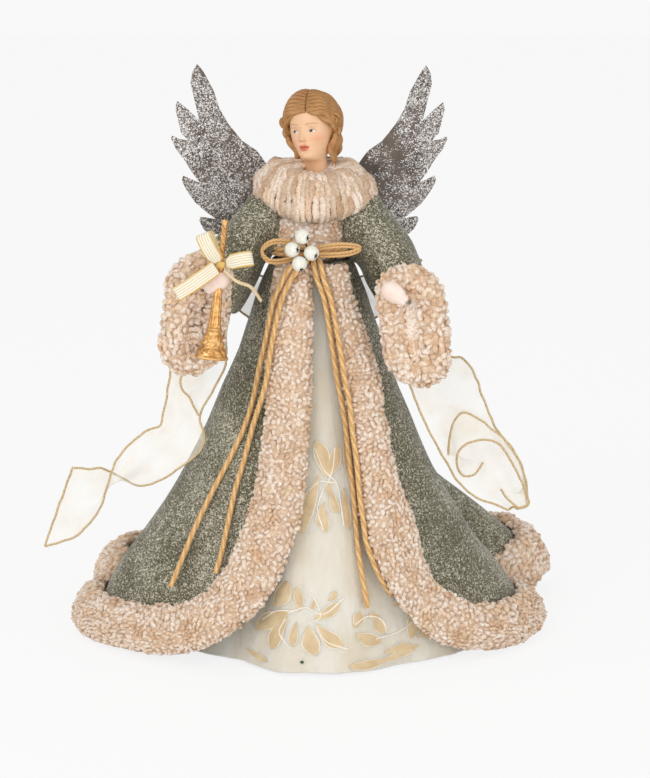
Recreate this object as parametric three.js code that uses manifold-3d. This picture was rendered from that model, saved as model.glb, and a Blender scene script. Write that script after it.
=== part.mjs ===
// Angel tree topper: a cloth-dressed figure on a cardboard cone.
// Millimetres, +Z up, the figure faces -Y. Left and right are as seen from the front.
// The origin is the cone's axis on the plane where the topper stands.
import * as THREE from 'three';
import { mergeVertices } from 'three/addons/utils/BufferGeometryUtils.js';
import Module from 'manifold-3d';

const wasm = await Module();
wasm.setup();

// Clearances
const gap = 0.3;
const floorGap = 1;

// The figure, from the standing plane up
const waistHeight = 275;
const torsoHeight = 43;
const neckHeight = 26;
const headHeight = 47;
const shoulderHeight = waistHeight + torsoHeight;
const chinHeight = shoulderHeight + neckHeight;

// Cardboard cone that slips over the tree's tip
const coneBaseRadius = 62;
const coneTopRadius = 12;
const coneTopDrop = 13;
const coneHeight = waistHeight - coneTopDrop;
const coneWall = 1.5;

// Skirt layers
const waistRadius = 28;
const hemHalfWidth = 152;
const feltThickness = 1.6;
const netThickness = 0.8;
const netEase = 3.8;
const satinThickness = 0.8;
const satinWaistRadius = 22;
const overlayThickness = 0.4;
const overlayEase = 1.5;

// Looped yarn trim
const trimThickness = 11;
const trimEdgeThickness = 4;
const hemTrimWidth = 36;
const collarThickness = 9;
const bodiceThickness = 6;
const bodiceLift = 1;
const bodiceTopDrop = 8;

// Upper body
const torsoHalfWidth = 18;
const torsoHalfDepth = 14;
const collarHalfWidth = 40;
const collarHalfDepth = 37;
const neckRadius = 7;
const headHalfWidth = 13.5;
const headHalfDepth = 15.5;
const headForward = 4;
const headTurn = THREE.MathUtils.degToRad(25);
const hairHalfWidth = 19;
const hairHalfDepth = 20;

// Twine, berries and wire
const twineDiameter = 3.5;
const berryDiameter = 10.4;
const wireDiameter = 2.4;

// Arms
const cuffRollRadius = 10.5;
const cuffRollDepth = 9;
const cuffLoopHalfWidth = 13;
const cuffHeight = 86;
const handLength = 22;
const handWidth = 10;
const handThickness = 8;

// Trumpet and its ribbon
const trumpetLength = 93;
const trumpetBellRadius = 11.4;
const trumpetWall = 0.9;
const ribbonWidth = 10;
const ribbonThickness = 0.6;

// Wings
const wingReach = 88;
const wingRise = 121;
const wingThickness = 1.2;
const wingPlane = 36;
const wingHingeOffset = 9;
const wingRootDrop = 33;
const wingRootHeight = shoulderHeight - wingRootDrop;

// Organza stole
const stoleThickness = 0.8;

const degrees = THREE.MathUtils.degToRad;
const point = (x, y, z) => new THREE.Vector3(x, y, z);

// Reads a table of [place, value] rows, with a smooth curve through them.
function read(table, place) {
  const last = table.length - 1;
  if (place <= table[0][0]) return table[0][1];
  if (place >= table[last][0]) return table[last][1];
  let i = 0;
  while (table[i + 1][0] < place) i += 1;
  const [x0, y0] = table[i];
  const [x1, y1] = table[i + 1];
  const before = table[Math.max(i - 1, 0)];
  const after = table[Math.min(i + 2, last)];
  const slope0 = (y1 - before[1]) / (x1 - before[0]);
  const slope1 = (after[1] - y0) / (after[0] - x0);
  const t = (place - x0) / (x1 - x0);
  const span = x1 - x0;
  const h = [2 * t ** 3 - 3 * t ** 2 + 1, t ** 3 - 2 * t ** 2 + t, 3 * t ** 2 - 2 * t ** 3, t ** 3 - t ** 2];
  return h[0] * y0 + h[1] * slope0 * span + h[2] * y1 + h[3] * slope1 * span;
}

// Reads one column of a table whose rows are lists, at a share of the table's length.
function column(rows, index, share) {
  const last = rows.length - 1;
  return read(rows.map((row, i) => [i / last, row[index]]), share);
}

function signedVolume(geometry) {
  const at = geometry.attributes.position;
  const index = geometry.index.array;
  const [a, b, c] = [point(0, 0, 0), point(0, 0, 0), point(0, 0, 0)];
  let volume = 0;
  for (let i = 0; i < index.length; i += 3) {
    a.fromBufferAttribute(at, index[i]);
    b.fromBufferAttribute(at, index[i + 1]);
    c.fromBufferAttribute(at, index[i + 2]);
    volume += a.dot(b.cross(c));
  }
  return volume;
}

// A closed body from points and triangles, turned so that its faces point out.
function body(points, triangles) {
  const geometry = new THREE.BufferGeometry();
  const flat = points.flatMap((p) => [p.x, p.y, p.z]);
  geometry.setAttribute('position', new THREE.Float32BufferAttribute(flat, 3));
  geometry.setIndex(triangles);
  if (signedVolume(geometry) < 0) geometry.setIndex(flipped(triangles));
  geometry.computeVertexNormals();
  return geometry;
}

function flipped(triangles) {
  const out = [];
  for (let i = 0; i < triangles.length; i += 3) {
    out.push(triangles[i], triangles[i + 2], triangles[i + 1]);
  }
  return out;
}

function quad(triangles, a, b, c, d) {
  triangles.push(a, b, c, a, c, d);
}

function surfaceNormal(surface, u, v) {
  const step = 0.002;
  const [u0, u1] = [Math.max(u - step, 0), Math.min(u + step, 1)];
  const [v0, v1] = [Math.max(v - step, 0), Math.min(v + step, 1)];
  const along = surface(u1, v).sub(surface(u0, v));
  const across = surface(u, v1).sub(surface(u, v0));
  return along.cross(across).normalize();
}

// A sheet of cloth or a pad on a surface. The two sides lie at inner and outer
// distances along the normal, and both may vary over the surface.
function sheet(surface, us, vs, inner, outer, closedAround = false) {
  const columns = closedAround ? us.length - 1 : us.length;
  const rows = vs.length;
  const points = [];
  for (const side of [outer, inner]) {
    for (let i = 0; i < columns; i += 1) {
      for (let j = 0; j < rows; j += 1) {
        const normal = surfaceNormal(surface, us[i], vs[j]);
        points.push(surface(us[i], vs[j]).addScaledVector(normal, side(us[i], vs[j])));
      }
    }
  }
  const at = (side, i, j) => (side * columns + (i % columns)) * rows + j;
  const triangles = [];
  const spans = closedAround ? columns : columns - 1;
  for (let i = 0; i < spans; i += 1) {
    for (let j = 0; j < rows - 1; j += 1) {
      quad(triangles, at(0, i, j), at(0, i + 1, j), at(0, i + 1, j + 1), at(0, i, j + 1));
      quad(triangles, at(1, i, j), at(1, i, j + 1), at(1, i + 1, j + 1), at(1, i + 1, j));
    }
    quad(triangles, at(0, i, 0), at(1, i, 0), at(1, i + 1, 0), at(0, i + 1, 0));
    quad(triangles, at(0, i, rows - 1), at(0, i + 1, rows - 1), at(1, i + 1, rows - 1), at(1, i, rows - 1));
  }
  if (!closedAround) {
    for (let j = 0; j < rows - 1; j += 1) {
      quad(triangles, at(0, 0, j), at(0, 0, j + 1), at(1, 0, j + 1), at(1, 0, j));
      const end = columns - 1;
      quad(triangles, at(0, end, j), at(1, end, j), at(1, end, j + 1), at(0, end, j + 1));
    }
  }
  return body(points, triangles);
}

const evenly = (count) => Array.from({ length: count + 1 }, (_, i) => i / count);
const constant = (value) => () => value;

// A closed body through rings of points, with flat ends or joined end to end.
function loft(rings, joined = false) {
  const sides = rings[0].length;
  const points = rings.flat();
  const triangles = [];
  const at = (i, j) => (i % rings.length) * sides + (j % sides);
  const spans = joined ? rings.length : rings.length - 1;
  for (let i = 0; i < spans; i += 1) {
    for (let j = 0; j < sides; j += 1) {
      quad(triangles, at(i, j), at(i, j + 1), at(i + 1, j + 1), at(i + 1, j));
    }
  }
  if (!joined) {
    const top = rings.length - 1;
    for (const ring of [rings[0], rings[top]]) points.push(middle(ring));
    for (let j = 0; j < sides; j += 1) {
      triangles.push(points.length - 2, at(0, j + 1), at(0, j));
      triangles.push(points.length - 1, at(top, j), at(top, j + 1));
    }
  }
  return body(points, triangles);
}

function middle(ring) {
  const sum = ring.reduce((total, p) => total.add(p), point(0, 0, 0));
  return sum.divideScalar(ring.length);
}

function ellipseRing(centre, halfA, halfB, sides) {
  return Array.from({ length: sides }, (_, i) => {
    const turn = (2 * Math.PI * i) / sides;
    return centre.clone().addScaledVector(halfA, Math.cos(turn)).addScaledVector(halfB, Math.sin(turn));
  });
}

// A level body whose ellipses are given from the bottom up.
function stack(rows, sides) {
  return loft(
    rows.map(({ z, halfWidth, halfDepth, y = 0, x = 0 }) =>
      ellipseRing(point(x, y, z), point(halfWidth, 0, 0), point(0, halfDepth, 0), sides),
    ),
  );
}

function circleShape(radius, sides) {
  const corners = Array.from({ length: sides }, (_, i) => {
    const turn = (2 * Math.PI * i) / sides;
    return new THREE.Vector2(radius * Math.cos(turn), radius * Math.sin(turn));
  });
  return new THREE.Shape(corners);
}

// A round cord or wire along a route of points.
function tube(points, diameter, steps, sides = 8) {
  const extrudePath = new THREE.CatmullRomCurve3(points);
  return new THREE.ExtrudeGeometry(circleShape(diameter / 2, sides), { steps, extrudePath });
}

// A turned body about the z axis, from a profile of [radius, height].
function turned(profile, segments) {
  const points = profile.map(([radius, height]) => new THREE.Vector2(radius, height));
  const geometry = new THREE.LatheGeometry(points, segments);
  geometry.rotateX(Math.PI / 2);
  return geometry;
}

function solidOf(geometry) {
  const bare = geometry.clone();
  bare.deleteAttribute('normal');
  bare.deleteAttribute('uv');
  const merged = mergeVertices(bare);
  const vertProperties = new Float32Array(merged.attributes.position.array);
  const triVerts = new Uint32Array(merged.index.array);
  return new wasm.Manifold(new wasm.Mesh({ numProp: 3, vertProperties, triVerts }));
}

function geometryOf(solid) {
  const cut = solid.getMesh();
  const geometry = new THREE.BufferGeometry();
  geometry.setAttribute('position', new THREE.Float32BufferAttribute(cut.vertProperties, 3));
  geometry.setIndex(Array.from(cut.triVerts));
  geometry.computeVertexNormals();
  return geometry;
}

// The main body of a cut solid, without the slivers that a cut leaves.
function largest(solid) {
  const bodies = solid.decompose();
  return bodies.reduce((most, one) => (one.volume() > most.volume() ? one : most));
}

const topper = new THREE.Group();

function add(name, geometry, { color, roughness = 0.9, metalness = 0 }) {
  const material = new THREE.MeshStandardMaterial({ color, roughness, metalness });
  const mesh = new THREE.Mesh(geometry, material);
  mesh.name = name;
  topper.add(mesh);
  return mesh;
}

// Finishes
const felt = { color: 0x6d6a55 };
const yarn = { color: 0xdcc0a8 };
const satin = { color: 0xeee6d6, roughness: 0.5 };
const netting = { color: 0xe8e2d4 };
const organza = { color: 0xf3eee2, roughness: 0.6 };
const card = { color: 0xb59a73 };
const skin = { color: 0xe9b78f, roughness: 0.5 };
const paintedHair = { color: 0x9c6b36, roughness: 0.6 };
const twine = { color: 0xb98a4a };
const berryWhite = { color: 0xefe9dc, roughness: 0.4 };
const steelWire = { color: 0x6b6a66, roughness: 0.4, metalness: 0.9 };
const gold = { color: 0xc8913c, roughness: 0.35, metalness: 0.9 };
const wingSheet = { color: 0x5c524c, roughness: 0.7 };
const ribbonCloth = { color: 0xe6d79a, roughness: 0.6 };

// The coat: its flare from the hem (0) to the waist (1), as a share of the spread.
const flareShares = [
  [0, 1], [0.05, 0.985], [0.12, 0.945], [0.2, 0.85], [0.3, 0.71], [0.41, 0.56],
  [0.53, 0.425], [0.66, 0.285], [0.8, 0.165], [0.9, 0.09], [1, 0],
];
// The hem's plan: radius as a share of the half width, by degrees from the front.
const hemPlanShares = [
  [-180, 0.87], [-150, 0.93], [-120, 0.99], [-92, 1.01], [-82, 0.965], [-72, 0.9], [-60, 0.82],
  [-47, 0.755], [-34, 0.7], [-15, 0.655], [0, 0.645], [15, 0.655], [34, 0.7], [48, 0.77], [60, 0.835],
  [72, 0.905], [83, 0.96], [93, 0.99], [120, 0.97], [150, 0.93], [180, 0.87],
];
// Folds and the train's two lobes, which fade out upwards.
const hemFoldShares = [
  [-180, 0], [-160, 0.01], [-146, 0.07], [-134, 0.13], [-125, 0.16], [-118, 0.11], [-110, -0.05],
  [-103, 0.02], [-92, 0], [0, 0], [90, 0], [101, 0.02], [108, -0.06], [112, -0.05], [118, 0.17],
  [124, 0.3], [130, 0.36], [138, 0.29], [148, 0.14], [162, 0.02], [180, 0],
];
// How far the hem is lifted off the table, as a share of the waist height.
const hemLiftShares = [
  [-180, 0], [-150, 0.01], [-125, 0.03], [-112, 0.01], [-100, 0], [100, 0], [110, 0.01],
  [122, 0.045], [135, 0.06], [150, 0.02], [180, 0],
];
// The coat's front edges, by [rise share, degrees from the front].
const coatEdgeDegrees = {
  left: [
    [0, -70], [0.05, -48], [0.12, -31], [0.2, -20.5], [0.3, -14], [0.41, -9],
    [0.53, -6.5], [0.66, -4], [0.8, -4], [0.9, -4], [1, -4],
  ],
  right: [
    [0, 80], [0.05, 59], [0.12, 49], [0.2, 38.5], [0.3, 33.5], [0.41, 32.5],
    [0.53, 32.5], [0.66, 32], [0.8, 28], [0.9, 23], [1, 13],
  ],
};
const foldFade = (rise) => Math.max(0, 1 - rise / 0.55) ** 1.6;
const aroundWaist = (degreesFromFront) => {
  let turn = degreesFromFront;
  while (turn > 180) turn -= 360;
  return turn;
};

function coatHeight(turn, rise) {
  const hem = floorGap + read(hemLiftShares, aroundWaist(turn)) * waistHeight;
  return hem + rise * (waistHeight - hem);
}

function coatRadius(turn, rise) {
  const plan = read(hemPlanShares, aroundWaist(turn)) * hemHalfWidth;
  const fold = read(hemFoldShares, aroundWaist(turn)) * hemHalfWidth;
  return waistRadius + (plan - waistRadius) * read(flareShares, rise) + fold * foldFade(rise);
}

function onPlan(turn, radius, height) {
  return point(radius * Math.sin(degrees(turn)), -radius * Math.cos(degrees(turn)), height);
}

const coatPoint = (turn, rise) => onPlan(turn, coatRadius(turn, rise), coatHeight(turn, rise));

const coatColumns = evenly(52);
const coatRises = flareShares.map(([rise]) => rise);

function coatSurface(u, v) {
  const start = read(coatEdgeDegrees.left, v);
  const end = read(coatEdgeDegrees.right, v);
  return coatPoint(end + (360 + start - end) * u, v);
}

function buildCoat() {
  add('coat', sheet(coatSurface, coatColumns, coatRises, constant(-feltThickness), constant(0)), felt);
}

// All the space inside the coat, with a little clearance, for fitting the trim to its facets.
function coatSpace() {
  const rings = coatRises.map((rise) => coatColumns.map((u) =>
    coatSurface(u, rise).addScaledVector(surfaceNormal(coatSurface, u, rise), 2 * gap)));
  const under = rings[0].map((p) => point(p.x, p.y, -floorGap));
  const above = rings[rings.length - 1].map((p) => point(p.x, p.y, p.z + trimThickness));
  return solidOf(loft([under, ...rings, above]));
}

// Trim on the coat's edges: [inner degrees, inner rise, outer degrees, outer rise].
const leftTrimShares = [
  [0, 0.99, -46, 0.99], [0, 0.9, -46, 0.9], [0, 0.8, -44, 0.81], [-0.8, 0.67, -36, 0.68],
  [-2.4, 0.575, -34, 0.59], [-4.3, 0.45, -33, 0.48], [-7.6, 0.345, -35, 0.38], [-13.4, 0.275, -37, 0.305],
  [-17.5, 0.207, -40, 0.247], [-25, 0.149, -45, 0.204], [-34, 0.098, -51, 0.178], [-44, 0.062, -58, 0.164],
  [-54, 0.036, -65, 0.153], [-64, 0.018, -73, 0.145], [-76, 0.006, -81, 0.138], [-88, 0.004, -89, 0.135],
  [-98, 0.004, -98, 0.132], [-106, 0.004, -106, 0.13],
];
const rightTrimShares = [
  [8, 0.99, 45, 0.99], [18, 0.9, 47, 0.9], [23, 0.8, 54, 0.81], [28, 0.67, 57, 0.68],
  [29, 0.575, 53, 0.6], [29, 0.45, 52, 0.475], [28.5, 0.345, 55, 0.37], [31, 0.275, 54.6, 0.3],
  [34.5, 0.215, 54.5, 0.245], [41, 0.155, 59, 0.2], [49, 0.1, 64, 0.17], [58, 0.05, 70, 0.152],
  [68, 0.02, 76, 0.142], [80, 0.006, 84, 0.136], [92, 0.004, 92, 0.132], [104, 0.004, 104, 0.13],
];

const domeShares = [0, 0.1, 0.32, 0.68, 0.9, 1];
const dome = (across) => Math.sqrt(Math.max(0, 1 - (2 * across - 1) ** 2));
const trimHeight = (u, v) => gap + trimEdgeThickness + (trimThickness - trimEdgeThickness) * dome(v);

function trimSurface(rows, side) {
  return (u, v) => {
    const across = side < 0 ? 1 - v : v;
    const turn = column(rows, 0, u) + (column(rows, 2, u) - column(rows, 0, u)) * across;
    const rise = column(rows, 1, u) + (column(rows, 3, u) - column(rows, 1, u)) * across;
    return coatPoint(turn, Math.max(rise, 0));
  };
}

function buildTrims() {
  const widthShare = hemTrimWidth / waistHeight;
  const back = (u, v) => coatPoint(107 + (360 - 107 - 109) * u, 0.004 + (widthShare - 0.004) * v);
  const inside = coatSpace();
  const trims = {
    front_trim_left: [trimSurface(leftTrimShares, -1), 22],
    front_trim_right: [trimSurface(rightTrimShares, 1), 20],
    hem_trim_back: [back, 30],
  };
  for (const [name, [surface, count]] of Object.entries(trims)) {
    const pad = solidOf(sheet(surface, evenly(count), domeShares, constant(-feltThickness), trimHeight));
    add(name, geometryOf(largest(pad.subtract(inside))), yarn);
  }
}

// The underskirt's hem plan: radius as a share of the coat's half width.
const satinPlanShares = [
  [-180, 0.78], [-120, 0.8], [-90, 0.79], [-65, 0.66], [-42, 0.55], [-30, 0.57], [-17, 0.6], [-6, 0.665],
  [4.7, 0.6], [14.6, 0.675], [25.5, 0.63], [42.5, 0.645], [52, 0.7], [62, 0.76], [90, 0.81], [135, 0.8], [180, 0.78],
];

// It hangs straighter than the coat, so that it stays inside.
const satinFlareShares = [[0, 1], [0.08, 0.93], [0.2, 0.8], [0.4, 0.52], [0.65, 0.25], [1, 0]];

function satinPoint(turn, rise, ease) {
  const plan = read(satinPlanShares, aroundWaist(turn)) * hemHalfWidth;
  const spread = (plan - satinWaistRadius) * read(satinFlareShares, rise);
  return onPlan(turn, satinWaistRadius + ease + spread, floorGap + rise * (waistHeight - floorGap));
}

function buildUnderskirts() {
  const rises = satinFlareShares.map(([rise]) => rise);
  const satinSurface = (u, v) => satinPoint(360 * u - 180, v, 0);
  const turns = evenly(32);
  add('satin_underskirt', sheet(satinSurface, turns, rises, constant(-satinThickness), constant(0), true), satin);
  const overlaySurface = (u, v) => satinPoint(360 * u - 180, v, overlayEase);
  const overlay = sheet(overlaySurface, turns, rises, constant(-overlayThickness), constant(0), true);
  add('sheer_overskirt', overlay, organza);
  const hemRadius = coneBaseRadius + netEase;
  const topRadius = coneTopRadius + netEase + netThickness;
  const net = turned(
    [
      [hemRadius, floorGap], [topRadius, waistHeight],
      [topRadius - netThickness, waistHeight], [hemRadius - netThickness, floorGap],
      [hemRadius, floorGap],
    ],
    28,
  );
  add('net_petticoat', net, netting);
}

function buildCone() {
  const profile = [
    [coneBaseRadius, 0], [coneTopRadius, coneHeight], [coneTopRadius - coneWall, coneHeight],
    [coneBaseRadius - coneWall, 0], [coneBaseRadius, 0],
  ];
  add('core_cone', turned(profile, 32), card);
}

// Upper body: rows by height between the waist and the neck. The bodice fits over its chest.
const bodiceInnerShare = 1.17;

function buildTorso() {
  const stemTop = waistHeight + gap;
  const chest = (share) => stemTop + share * (shoulderHeight + neckRadius - stemTop);
  const rows = [
    { z: coneHeight + gap, halfWidth: coneTopRadius, halfDepth: coneTopRadius },
    { z: stemTop, halfWidth: coneTopRadius + gap, halfDepth: coneTopRadius },
    { z: chest(0.3), halfWidth: torsoHalfWidth, halfDepth: torsoHalfDepth },
    { z: chest(0.6), halfWidth: torsoHalfWidth * bodiceInnerShare, halfDepth: torsoHalfDepth * bodiceInnerShare },
    { z: chest(0.85), halfWidth: torsoHalfWidth * 1.15, halfDepth: torsoHalfDepth * 0.85 },
    { z: chest(1), halfWidth: torsoHalfWidth * 0.6, halfDepth: torsoHalfDepth * 0.65 },
  ];
  add('torso_form', stack(rows, 20), card);
}

function bodicePoint(u, v) {
  const turn = 360 * u;
  const flatter = read([[0, 0.98], [0.5, 1.06], [1, 1.0]], v);
  const halfWidth = (torsoHalfWidth * bodiceInnerShare + gap) * flatter;
  const halfDepth = (torsoHalfDepth * bodiceInnerShare + gap) * flatter;
  const foot = waistHeight + bodiceLift;
  const height = foot + v * (shoulderHeight - bodiceTopDrop - foot);
  return point(halfWidth * Math.sin(degrees(turn)), -halfDepth * Math.cos(degrees(turn)), height);
}

function buildBodice() {
  const thickness = (u, v) => bodiceThickness * (0.75 + 0.25 * dome(v));
  add('bodice', sheet(bodicePoint, evenly(24), evenly(4), constant(0), thickness, true), yarn);
}

// The collar: inner edge at the neck, outer edge over the shoulders.
const collarShares = [
  // spread, height above the shoulders as a share of the bare neck under the yarn
  [0, 0.856], [0.3, 0.948], [0.62, 0.7035], [0.86, 0.306], [1, -0.092],
];
const collarDipShares = { front: 0.3935, back: 0.281 };
const collarNeckGap = 4.5;

function collarPoint(u, v) {
  const turn = 360 * u;
  const spread = column(collarShares, 0, v);
  const neck = neckRadius + collarNeckGap;
  const halfWidth = neck + (collarHalfWidth - collarThickness - neck) * spread;
  const halfDepth = neck + (collarHalfDepth - collarThickness - neck) * spread;
  const front = Math.cos(degrees(turn));
  const dipShare = front > 0 ? collarDipShares.front : collarDipShares.back;
  const dip = dipShare * collarHalfDepth * (front * spread) ** 2;
  const height = shoulderHeight + column(collarShares, 1, v) * (neckHeight - collarThickness) - dip;
  return point(halfWidth * Math.sin(degrees(turn)), -halfDepth * front, height);
}

function buildCollar() {
  const depth = (u, v) => -collarThickness * (0.45 + 0.55 * dome(v));
  const across = [0, 0.12, 0.35, 0.6, 0.85, 1];
  add('collar', sheet(collarPoint, evenly(28), across, depth, constant(0), true), yarn);
}

// Neck, head and hair. Rows: height share, half width share, half depth share, forward share.
// The neck's heights run from the torso to the chin, the others from the chin to the crown.
const neckShares = [[0, 0.62, 0.5, -0.26], [0.447, 0.53, 0.45, -0.22], [0.95, 0.54, 0.46, -0.08]];
const faceShares = [
  [0.02, 0.62, 0.62, 0.18], [0.1, 0.8, 0.82, 0.2], [0.25, 0.95, 0.96, 0.1], [0.42, 1, 1, 0.04],
  [0.6, 0.98, 0.98, 0], [0.76, 0.84, 0.84, 0], [0.86, 0.6, 0.6, 0], [0.91, 0.25, 0.25, 0],
];
const bareNeck = neckHeight - neckRadius - gap;
const headShares = [
  ...neckShares.map(([rise, ...rest]) => [((rise - 1) * bareNeck) / headHeight, ...rest]),
  ...faceShares,
];
const hairShares = [
  [0.05, 0.62, 0.5, -0.28], [0.12, 0.86, 0.72, -0.2], [0.3, 0.96, 0.86, -0.12], [0.5, 1, 1, -0.06],
  [0.68, 0.97, 1, -0.02], [0.84, 0.84, 0.88, 0], [0.95, 0.55, 0.6, 0], [1, 0.2, 0.22, 0],
];

function headBody(rows, halfWidth, halfDepth, clearance, sides) {
  const rings = rows.map(([rise, width, depth, forward]) => {
    const centre = point(0, -forward * halfDepth, chinHeight + rise * headHeight);
    const wide = point(halfWidth * width + clearance, 0, 0);
    const deep = point(0, halfDepth * depth + clearance, 0);
    return ellipseRing(centre, wide, deep, sides);
  });
  return loft(rings);
}

function placeHead(geometry) {
  geometry.rotateZ(-headTurn);
  geometry.translate(0, -headForward, 0);
  return geometry;
}

function buildHead() {
  const head = headBody(headShares, headHalfWidth, headHalfDepth, 0, 20);
  add('head', placeHead(head), skin);
  const locks = solidOf(headBody(hairShares, hairHalfWidth, hairHalfDepth, 0, 24));
  const scalp = solidOf(headBody(headShares, headHalfWidth, headHalfDepth, gap, 20));
  const opening = [-2, -0.1].map((depth) => {
    const centre = point(0, depth * hairHalfDepth, chinHeight + 0.24 * headHeight);
    return ellipseRing(centre, point(headHalfWidth * 0.9, 0, 0), point(0, 0, headHeight * 0.5), 20);
  });
  const hair = geometryOf(locks.subtract(scalp).subtract(solidOf(loft(opening))));
  add('hair', placeHead(hair), paintedHair);
}

// Waist twine, its bow and the berries
const beltRise = 6;
const beltHeight = waistHeight + beltRise;
const beltDepth = torsoHalfDepth * bodiceInnerShare + bodiceThickness + gap;
const beltWidth = torsoHalfWidth * bodiceInnerShare + bodiceThickness + gap;
const knotRadius = 4.4;
const knotSide = -2;
const knotRise = 2.5;
const knotPlace = point(knotSide, -(beltDepth + twineDiameter + gap + knotRadius), beltHeight + knotRise);

function buildBelt() {
  const rings = Array.from({ length: 32 }, (_, i) => {
    const turn = (2 * Math.PI * i) / 32;
    const outward = point(Math.sin(turn), -Math.cos(turn), 0);
    const centre = point(beltWidth * outward.x, beltDepth * outward.y, beltHeight);
    centre.addScaledVector(outward, twineDiameter / 2 + gap);
    return ellipseRing(centre, outward.multiplyScalar(twineDiameter / 2), point(0, 0, twineDiameter), 6);
  });
  add('waist_twine', loft(rings, true), twine);
  const knot = new THREE.SphereGeometry(knotRadius, 12, 8);
  knot.translate(knotPlace.x, knotPlace.y, knotPlace.z);
  add('bow_knot', geometryOf(solidOf(knot)), twine);
}

// The bow's loops, as shares of the bow's reach from the knot: sideways, forward, up.
const bowReach = 42;
const bowLoopShares = {
  left: [
    [-0.107, 0.02, 0.045], [-0.36, 0.14, 0.18], [-0.62, 0.16, 0.17], [-0.76, 0.1, 0.02],
    [-0.64, 0.14, -0.13], [-0.38, 0.1, -0.13], [-0.11, 0, -0.06],
  ],
  right: [
    [0.1, 0.02, 0.05], [0.42, 0.1, 0.13], [0.8, 0.02, 0.12], [1.04, -0.06, 0.05],
    [0.8, 0.02, -0.03], [0.42, 0.1, -0.04], [0.11, 0.02, -0.06],
  ],
};

function buildBowLoops() {
  for (const [side, rows] of Object.entries(bowLoopShares)) {
    const route = rows.map(([x, forward, up]) =>
      point(x, -forward, up).multiplyScalar(bowReach).add(knotPlace));
    add(`bow_loop_${side}`, tube(route, twineDiameter, 18), twine);
  }
}

// The twine's four loose tails, in millimetres, from the knot down the coat.
const tailRoutes = {
  left_outer: [
    [-6.6, -35, 277.8], [-11.4, -41, 276.4], [-17, -42, 270.5], [-22, -42.2, 260], [-26.2, -42, 250],
    [-31.6, -43.2, 224], [-36, -42.4, 205], [-40, -41.6, 184], [-46, -42.4, 164], [-56, -43, 142],
    [-67.3, -44.8, 120.5], [-76, -47, 103], [-83, -50, 88], [-90.4, -54.4, 70.5], [-98, -59, 52.5],
  ],
  left_inner: [
    [-2.7, -35.2, 277.4], [-6.4, -40.6, 275.6], [-12, -43, 269.5], [-17, -43.6, 260.5], [-21, -44.6, 250.5],
    [-26.8, -47, 224.8], [-31.2, -50, 197], [-35.5, -49, 181], [-40.4, -47.6, 165], [-46, -49.2, 143],
    [-53, -55.4, 120], [-57.4, -61.2, 100], [-62, -68.6, 80], [-66, -73.6, 67],
  ],
  right_inner: [
    [1.3, -35, 277.4], [1.8, -39.2, 274.6], [3.8, -40.6, 266], [9, -41.6, 251], [13.6, -43.6, 223],
    [17.6, -45.2, 197], [20.6, -46.8, 181], [23.4, -48.4, 164], [25.6, -51.4, 145], [28.6, -57.2, 120],
    [30.6, -64, 98], [32.4, -71, 80], [35.4, -76.8, 62], [38.4, -81.4, 45],
  ],
  right_outer: [
    [5.2, -34.2, 278], [6.6, -40.4, 275], [8.6, -42.4, 266], [13.6, -44.6, 251], [18.6, -47.6, 224],
    [23, -50.4, 197], [26, -53.2, 182.4], [28, -57.4, 163], [30.6, -61.8, 145], [33, -67.4, 120],
    [35, -71.4, 106], [37.4, -73, 90], [42.4, -74.8, 75], [49, -75, 61], [55, -70.6, 50],
  ],
};

function buildTails() {
  for (const [name, rows] of Object.entries(tailRoutes)) {
    const route = rows.map(([x, y, z]) => point(x, y, z));
    add(`twine_tail_${name}`, tube(route, twineDiameter, 26), twine);
  }
}

// Berries on wire stems, placed from the knot as shares of the berry's diameter.
const berryShares = [[-0.38, -1.5, 1.24], [-1.06, -1.52, 0.38], [0.2, -1.56, 0.16], [-0.58, -1.86, -0.5]];
const stemRadius = 0.6;
const berryTipLength = 1.6;

function buildBerries() {
  berryShares.forEach((share, i) => {
    const away = point(...share).multiplyScalar(berryDiameter);
    const centre = away.clone().add(knotPlace);
    const direction = away.clone().normalize();
    const sphere = new THREE.SphereGeometry(berryDiameter / 2, 10, 8);
    sphere.translate(centre.x, centre.y, centre.z);
    const foot = knotPlace.clone().addScaledVector(direction, knotRadius + 2 * gap);
    const stem = tube([foot, foot.clone().lerp(centre, 0.5), centre], 2 * stemRadius, 2, 6);
    const tip = new THREE.CylinderGeometry(stemRadius, 2 * stemRadius, berryTipLength, 6);
    const tipSide = point(0.45, 0.1, 0.88);
    tip.rotateX(Math.PI / 2);
    tip.rotateY(-Math.asin(tipSide.x) * (i % 2 ? 1 : -1));
    const seat = centre.clone().addScaledVector(tipSide, berryDiameter / 2);
    seat.x = centre.x + (seat.x - centre.x) * (i % 2 ? -1 : 1);
    tip.translate(seat.x, seat.y, seat.z);
    const berry = solidOf(sphere).add(solidOf(stem)).add(solidOf(tip));
    add(`berry_${i + 1}`, geometryOf(berry), berryWhite);
  });
}

// Arms. Each sleeve is a bell of felt whose tall mouth carries a looped cuff.
// The shoulder's turning point and the middle of each cuff are shares of the shoulder's height.
const shoulderShares = [0.1069, -0.0063, 0.9874];
const cuffShares = { left: [-0.24528, -0.18239, 0.77358], right: [0.21855, -0.1761, 0.74528] };
const ofShoulder = (shares) => point(...shares).multiplyScalar(shoulderHeight);
const arms = {
  left: { side: -1, cuff: ofShoulder(cuffShares.left), lean: 0.12, facing: degrees(20) },
  right: { side: 1, cuff: ofShoulder(cuffShares.right), lean: -0.12, facing: degrees(-12) },
};
// Sleeve sections from the shoulder to the elbow: sideways, depth and height of the centre,
// half depth, half height, its lean, and how far the section swings round towards the cuff,
// as shares (the lengths as shares of the shoulder's height).
const sleeveShares = [
  [0.117, -0.003, 0.931, 0.041, 0.066, -0.008, 0],
  [0.157, -0.025, 0.899, 0.041, 0.066, -0.025, 0.25],
  [0.195, -0.063, 0.865, 0.036, 0.064, -0.034, 0.8],
];
const sleeveThickness = 1.4;
const sleeveDivisions = [16, 7];

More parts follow.
